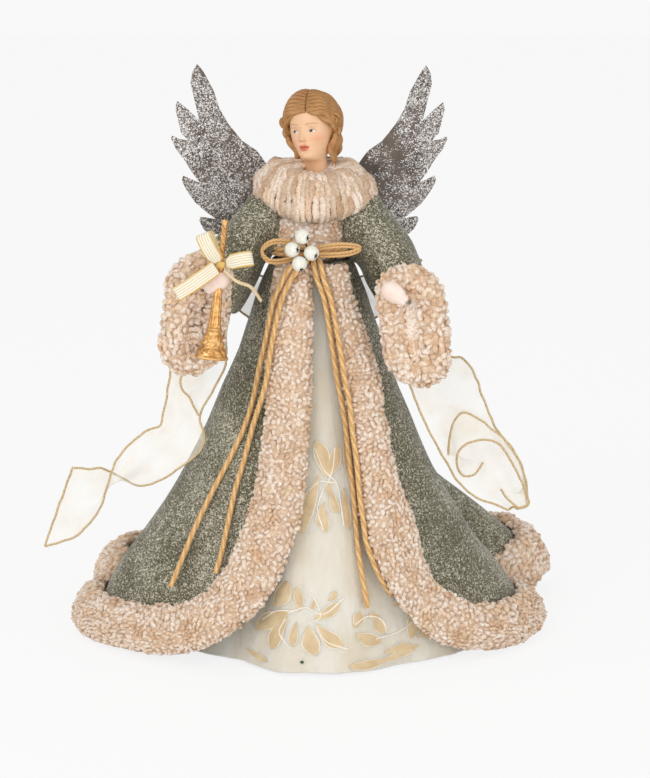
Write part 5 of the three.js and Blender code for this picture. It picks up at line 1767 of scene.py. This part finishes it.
def wing_finish():
    material, shader = finish("glittered_sheet")
    at = places(material)
    away = maths(material, "ABSOLUTE", split(material, at)["X"])
    reach = maths(material, "MULTIPLY", maths(material, "SUBTRACT", away, 0.030), 17.0)
    patches = maths(material, "SUBTRACT", cloud(material, at, 48, 5, 0.65), 0.5)
    cover = maths(material, "ADD", reach, maths(material, "MULTIPLY", patches, 3.6))
    dusted = ramp(material, cover, [(0.0, level(0)), (0.9, level(1))])
    speck = block(material, "ShaderNodeSeparateColor", {"Color": cells(material, at, 1500)})
    limit = maths(material, "SUBTRACT", 1.01, maths(material, "MULTIPLY", dusted, 0.62))
    glitter = maths(material, "GREATER_THAN", speck.outputs["Red"], limit)
    hide = ramp(material, cloud(material, at, 60, 4), [(0.3, tone(70, 60, 52)), (0.7, tone(112, 98, 88))])
    silver = ramp(material, speck.outputs["Green"], [
        (0, tone(128, 124, 122)), (0.5, tone(196, 190, 186)), (1, tone(252, 250, 248)),
    ])
    rough = maths(material, "SUBTRACT", 0.6, maths(material, "MULTIPLY", glitter, 0.2))
    feed(material, mixed(material, glitter, hide, silver), shader)
    feed(material, rough, shader, "Roughness")
    bumped(material, shader, glitter, 0.5, 0.3 * mm)
    return material


glittered = wing_finish()
net_step = 3.2 * mm
for side in ("left", "right"):
    wing = cad_copy(f"wing_{side}", f"wing_sheet_{side}", quads=False)
    bpy.ops.object.mode_set(mode="EDIT")
    bpy.ops.mesh.select_all(action="SELECT")
    bpy.ops.mesh.dissolve_limited(angle_limit=math.radians(4))
    bpy.ops.object.mode_set(mode="OBJECT")
    sharp = math.radians(50)
    apply_with(wing, "BEVEL", width=0.4 * mm, segments=2, limit_method="ANGLE", angle_limit=sharp)
    bisected(wing, net_step)
    for vertex in wing.data.vertices:
        vertex.co.y += wing_bend(vertex.co)
    only(wing)
    wing.data.shade_smooth()
    bpy.ops.object.shade_smooth_by_angle(angle=math.radians(40))
    dress(wing, f"wing_{side}_body", glittered, "wing_sheet", f"wing_{side}")
    print(wing.name, "faces", len(wing.data.polygons))

# %% [markdown]
# ## Organza stole
# A long strip of organza hangs in a swag behind the back, passes over each sleeve and falls in front
# of the cuffs to two pointed ends. Each half is one sheet between two edge lines, with rows from the
# back's middle to the tip. Where a sleeve is in the way, the cloth is set just outside it. Each half
# crosses the shoulder joint.

# %% Edge lines of the stole
# each row holds a point of one edge and a point of the other, from the back to the tip
swag_rows = [
    ((0, 51.4, 213), (0, 41.3, 246)), ((23.4, 47.3, 217), (24.8, 38.2, 250)),
    ((48, 26, 228), (52, 23.4, 265)),
]
stole_rows = {
    "right": [
        ((73.6, -17.2, 270.1), (66.4, -5.2, 279.7)), ((67.8, -18.1, 280.9), (60.6, -6.7, 289.3)),
        ((61.3, -20.6, 289.1), (54.8, -10.4, 296.6)), ((55.6, -24.4, 293), (50, -15.5, 300)),
        ((51.4, -28.6, 291.2), (47.3, -21, 298.5)), ((50.1, -31, 283.6), (46.4, -25, 291.6)),
        ((52.9, -31.4, 273.2), (49.6, -26.5, 282.2)), ((57, -29, 255), (55, -26.1, 270.4)),
        ((57, -29, 241), (48, -20, 256)), ((57, -24, 226), (74, -10, 236)),
        ((62, -24, 206), (94.3, -16, 208.7)), ((68.4, -24, 188.3), (104.7, -18, 206.2)),
        ((72.6, -26, 176.6), (113.1, -20, 196)), ((78.2, -28, 164.2), (118, -22, 182.9)),
        ((85.2, -30, 150.3), (124.4, -24, 166.8)), ((93.7, -31, 134.8), (130.7, -26, 154.4)),
        ((103.6, -33, 119.4), (139.9, -28, 142.6)), ((113.3, -36, 111.5), (146.9, -30, 130.1)),
        ((125.7, -38, 107), (149.1, -32, 119.1)), ((136.7, -38, 102), (151, -34, 104)),
    ],
    "left": [
        ((-75, -17.2, 271.3), (-65.9, -5, 279.3)), ((-69.1, -18.1, 282.1), (-60.2, -6.5, 288.9)),
        ((-62.6, -20.6, 290.5), (-54.3, -10.2, 296.2)), ((-56.7, -24.4, 294.5), (-49.6, -15.4, 299.6)),
        ((-52.5, -28.8, 292.4), (-46.8, -21, 298.1)), ((-51.7, -31.7, 285), (-46, -25, 291.3)),
        ((-54.2, -32.6, 274.6), (-49.2, -26.5, 281.8)), ((-57, -28, 256), (-54.5, -25.1, 270)),
        ((-57, -27, 241), (-48, -18, 256)), ((-59, -24, 226), (-72, -8, 238)),
        ((-59, -26, 214), (-90, -10, 220)), ((-60, -28, 202.7), (-97.5, -18, 202.1)),
        ((-65.8, -30, 190.1), (-99.4, -18, 191.5)), ((-72.5, -31, 178.7), (-101.2, -18, 180.8)),
        ((-78.1, -31, 167), (-103.5, -19, 169.8)), ((-74.7, -32, 153), (-106.3, -22, 159.1)),
        ((-78.8, -32, 142), (-114.6, -24, 156)), ((-90.5, -32, 132.3), (-124.2, -28, 149.8)),
        ((-104.8, -30, 121.9), (-133.8, -32, 140.1)), ((-120.7, -27, 116.3), (-139.3, -35, 130)),
        ((-136.3, -24, 122.7), (-143.7, -36, 114.4)), ((-145.8, -26, 128.4), (-152.5, -36, 95.5)),
        ((-156.8, -28, 128.9), (-168, -34, 80.6)), ((-167.7, -30, 130.1), (-188, -32, 73.9)),
    ],
}
ruffle_edges = [
    [
        (95.1, -30, 139.5), (96.2, -33, 152.5), (97.9, -36, 164), (104.6, -38, 171.7), (115.1, -38, 167.4),
        (125, -37, 160), (134.8, -37, 151.4), (143.3, -38, 139.5), (148.4, -38, 126.5), (150, -39, 112),
    ],
    [
        (119.4, -33, 134.6), (113.7, -36, 127.4), (106, -38, 126.5), (100.8, -41, 134.5),
        (101.3, -43, 144.4), (107.3, -44, 151.1), (117, -44, 153.9), (127.4, -44, 151.8),
        (135.1, -44, 143.9), (141.6, -44, 132.5), (147.4, -44, 119.5), (151.1, -43, 109.2),
        (145.7, -42, 104.5), (137.4, -41, 109.3), (131.7, -40, 117.7),
    ],
]
fold_line = [(-80, -32, 214), (-87.1, -33, 202.7), (-91, -33, 191.1), (-84.5, -33, 180.7), (-79, -33, 169)]
print("ruffle points", [len(points) for points in ruffle_edges])


# %% Sheets between the edge lines
def between(first, second, across):
    """A grid from one line of points to another, with this many points across."""
    u = np.linspace(0, 1, across)[None, :, None]
    return first[:, None, :] * (1 - u) + second[:, None, :] * u


def stole_grid(side, rows):
    sign = -1 if side == "left" else 1
    swag = [tuple((sign * x, y, z) for x, y, z in pair) for pair in swag_rows]
    pairs = np.array(swag + rows, float) * mm
    count, across = 190, 17
    edges = []
    for k in (0, 1):
        fine = smooth_route(pairs[:, k], 0.5 * mm)
        keys = [int(np.argmin(np.linalg.norm(fine - p, axis=1))) for p in pairs[:, k]]
        place = np.interp(np.linspace(0, len(pairs) - 1, count), np.arange(len(pairs)), keys)
        edges.append(sampled(fine, place))
    t = np.linspace(0, 1, count)[:, None, None]
    u = np.linspace(0, 1, across)[None, :, None]
    fold = np.sin(3.4 * math.pi * u + 5 * t) * np.sin(math.pi * u) ** 0.6
    return between(*edges, across) + fold * (0.4 + 1.6 * t**1.5) * mm * np.array([0.15, 1.0, 0.2])


def ruled(first, second):
    """A strip between two curves, each sampled evenly along its own length."""
    count, across = 60, 9
    sides = []
    for points in (first, second):
        fine = smooth_route(np.array(points, float) * mm, 0.5 * mm)
        sides.append(sampled(fine, np.linspace(0, len(fine) - 1, count)))
    return between(*sides, across)


def set_outside(grid, ground, clear):
    """Moves the points that are too near a piece, or inside it, out to this distance."""
    deepest = 30 * mm
    for row in grid:
        for k, point in enumerate(row):
            place, normal, _, away = ground.find_nearest(Vector(point))
            if away < deepest and (Vector(point) - place).dot(normal) < clear:
                row[k] = place + normal * clear
    return grid


def crumpled(points):
    """The same line with small bends, as a wire has that was straightened by hand."""
    wobble = [noise.noise_vector(Vector(p) / (7 * mm)) * 0.7 * mm for p in points]
    return smooth_route(points + np.array(wobble), 0.7 * mm)


stoles = {}
for side, rows in stole_rows.items():
    grid = stole_grid(side, rows)
    sleeve_ground = surface_of(bpy.data.objects[f"sleeve_cloth_{side}"])
    grid = set_outside(set_outside(grid, sleeve_ground, 1.0 * mm), coat_ground, 1.4 * mm)
    stoles[side] = (skin(f"stole_{side}", grid), grid)
    print(stoles[side][0].name, "rows", len(grid))

# %% [markdown]
# Organza is almost clear. What one sees is the fine weave, the creases where the layers double up,
# and the two twisted gold cords along its edges, which hold a wire.

# %% Organza and its gold edges
def organza_finish():
    material, shader = finish("organza_weave", Roughness=0.5, Sheen_Weight=0.3)
    fold = cloud(material, places(material), 60, 4)
    colour = ramp(material, fold, [(0.3, tone(232, 222, 200)), (0.65, tone(248, 243, 232))])
    feed(material, colour, shader)
    feed(material, ramp(material, fold, [(0.3, level(0.55)), (0.6, level(0.28))]), shader, "Alpha")
    bumped(material, shader, fold, 0.5, 2 * mm)
    return material


def gold_edge(name, line):
    return twisted_twine(name, crumpled(line), 1.5 * mm, 2, 2.4 * mm)


def gold_edge_through(name, points):
    return gold_edge(name, smooth_route(np.array(points) * mm, 2 * mm))


organza = organza_finish()
cord_colours = [(0.35, tone(178, 148, 98)), (0.65, tone(226, 202, 156))]
gold_cord = grained_finish("gold_cord", 1500, 2, cord_colours, 0.3, 0.2 * mm, Roughness=0.5, Metallic=0.25)
middle_sheet = {"left": ["stole_back"], "right": []}
for side, (stole, grid) in stoles.items():
    sign = -1 if side == "left" else 1
    outline = np.vstack([grid[:, 0], grid[-1, 1:-1], grid[::-1, -1]])
    extras = [gold_edge(f"stole_edge_{side}", outline)]
    if side == "left":
        extras.append(gold_edge_through("fold_edge", fold_line))
    else:
        ruffle = skin("stole_ruffle", ruled(*ruffle_edges))
        curls = [gold_edge_through(f"ruffle_edge_{k}", points) for k, points in enumerate(ruffle_edges)]
        extras += [join_pieces(curls, "ruffle_edges"), ruffle]
    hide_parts(f"stole_panel_{side}", f"stole_saddle_{side}", *middle_sheet[side])
    start, end = (sign * 0.048, 0.026, 0.25), (sign * 0.060, -0.008, 0.25)
    for piece in [stole, *extras]:
        wear(piece, gold_cord if "edge" in piece.name else organza)
        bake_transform(piece)

# %% [markdown]
# ## Card and wire inside
# The cone, the card body, the wing bracket and the wires are right as they are, so they keep their
# solids and only get real finishes: grey-brown card with fibres, and dull steel with drawn lines.

# %% Card and wire
def card_finish():
    material, shader = finish("card", Roughness=0.88)
    pulp = cloud(material, places(material), 220, 5, 0.7)
    fibre = maths(material, "MULTIPLY", cloud(material, places(material, (1, 1, 8)), 160, 3), 0.3)
    colour = ramp(material, pulp, [
        (0.3, tone(160, 132, 98)), (0.55, tone(196, 168, 130)), (0.8, tone(216, 194, 160)),
    ])
    feed(material, mixed(material, fibre, colour, tone(132, 106, 76)), shader)
    bumped(material, shader, pulp, 0.4, 0.3 * mm)
    return material


def wire_finish():
    material, shader = finish("dull_steel", Metallic=0.9)
    drawn = cloud(material, places(material, (1, 1, 6)), 500, 3)
    colour = ramp(material, drawn, [(0.3, tone(96, 94, 90)), (0.7, tone(158, 156, 150))])
    rough = maths(material, "ADD", 0.3, maths(material, "MULTIPLY", drawn, 0.25))
    feed(material, colour, shader)
    feed(material, rough, shader, "Roughness")
    bumped(material, shader, drawn, 0.2, 0.15 * mm)
    return material


card, steel = card_finish(), wire_finish()
kept = {"core_cone": card, "torso_form": card, "wing_bracket": steel}
for name in ("arm_wire_left", "arm_wire_right", "wing_wire_left", "wing_wire_right"):
    kept[name] = steel
for name, material in kept.items():
    for place in nodes[name].material_slots:
        place.material = material
print("kept solids", len(kept))

# %% [markdown]
# A tiny green glass bead is sewn to the hem of the sheer cloth, where the thread is tied off.

# %% Hem bead
bead = ball("hem_bead", 1.3 * mm, 16, 10)
bead_place = laid(-6.5 * mm, 10 * mm, 1.2 * mm)
for vertex in bead.data.vertices:
    vertex.co.z *= 0.8
    vertex.co += bead_place
bead.data.shade_smooth()
glass_colours = [(0.3, tone(14, 50, 30)), (0.7, tone(30, 84, 54))]
glass = grained_finish("green_glass", 700, 2, glass_colours, 0.1, 0.1 * mm, Roughness=0.15)
dress(bead, "figure", glass, "sheer_overlay")
print("bead at", tuple(round(c, 4) for c in bead_place))

# %% [markdown]
# ## Floor and light
# The studio is plain: a pale floor that takes the shadow, an even pale world, one large soft lamp
# with a weaker one opposite, and a low one in front. Camera, glossy and transmission rays see the
# world as nearly white, while its light on the object stays level, so colours render about as they
# are written. A world has a node tree like a material's, so the same blocks build it.

# %% Stage
bpy.ops.object.select_all(action="DESELECT")
bpy.ops.mesh.primitive_plane_add(size=12, location=(0, 0, -0.2 * mm))
floor = bpy.context.object
floor.name = "floor"


def floor_finish():
    material, shader = finish("floor_card", Roughness=0.9, Base_Color=tone(250, 250, 249))
    path = block(material, "ShaderNodeLightPath").outputs["Is Camera Ray"]
    glow = block(material, "ShaderNodeEmission", {"Color": level(0.985)}).outputs["Emission"]
    share = maths(material, "MULTIPLY", path, 0.85)
    blend = block(material, "ShaderNodeMixShader", {0: share, 1: shader.outputs["BSDF"], 2: glow})
    surface = material.node_tree.nodes["Material Output"].inputs["Surface"]
    material.node_tree.links.new(blend.outputs["Shader"], surface)
    return material


floor.data.materials.append(floor_finish())

world = bpy.data.worlds.new("studio")
bpy.context.scene.world = world
world.use_nodes = True
ray = block(world, "ShaderNodeLightPath").outputs
seen = maths(world, "ADD", ray["Is Camera Ray"], ray["Is Glossy Ray"])
seen_all = {0: seen, 1: ray["Is Transmission Ray"]}
seen_all = block(world, "ShaderNodeMath", seen_all, operation="ADD", use_clamp=True).outputs[0]
sky = world.node_tree.nodes["Background"]
sky.inputs["Color"].default_value = level(0.65)
backdrop = block(world, "ShaderNodeBackground", {"Color": level(0.945)}).outputs[0]
choice = block(world, "ShaderNodeMixShader", {0: seen_all, 1: sky.outputs[0], 2: backdrop}).outputs[0]
world.node_tree.links.new(choice, world.node_tree.nodes["World Output"].inputs["Surface"])


def lamp(name, place, power, size):
    data = bpy.data.lights.new(name, "AREA")
    data.energy, data.size = power, size
    light = bpy.data.objects.new(name, data)
    light.location = place
    light.rotation_euler = (Vector((0, 0, 0.2)) - Vector(place)).to_track_quat("-Z", "Y").to_euler()
    bpy.context.scene.collection.objects.link(light)


lamp("key", (-1.2, -1.7, 1.3), 14, 1.1)
lamp("fill", (1.5, -1.5, 0.6), 7, 1.2)
lamp("low_front", (0.1, -1.9, 0.3), 5.6, 0.9)
bpy.context.scene.view_settings.view_transform = "Standard"
print("stage set")
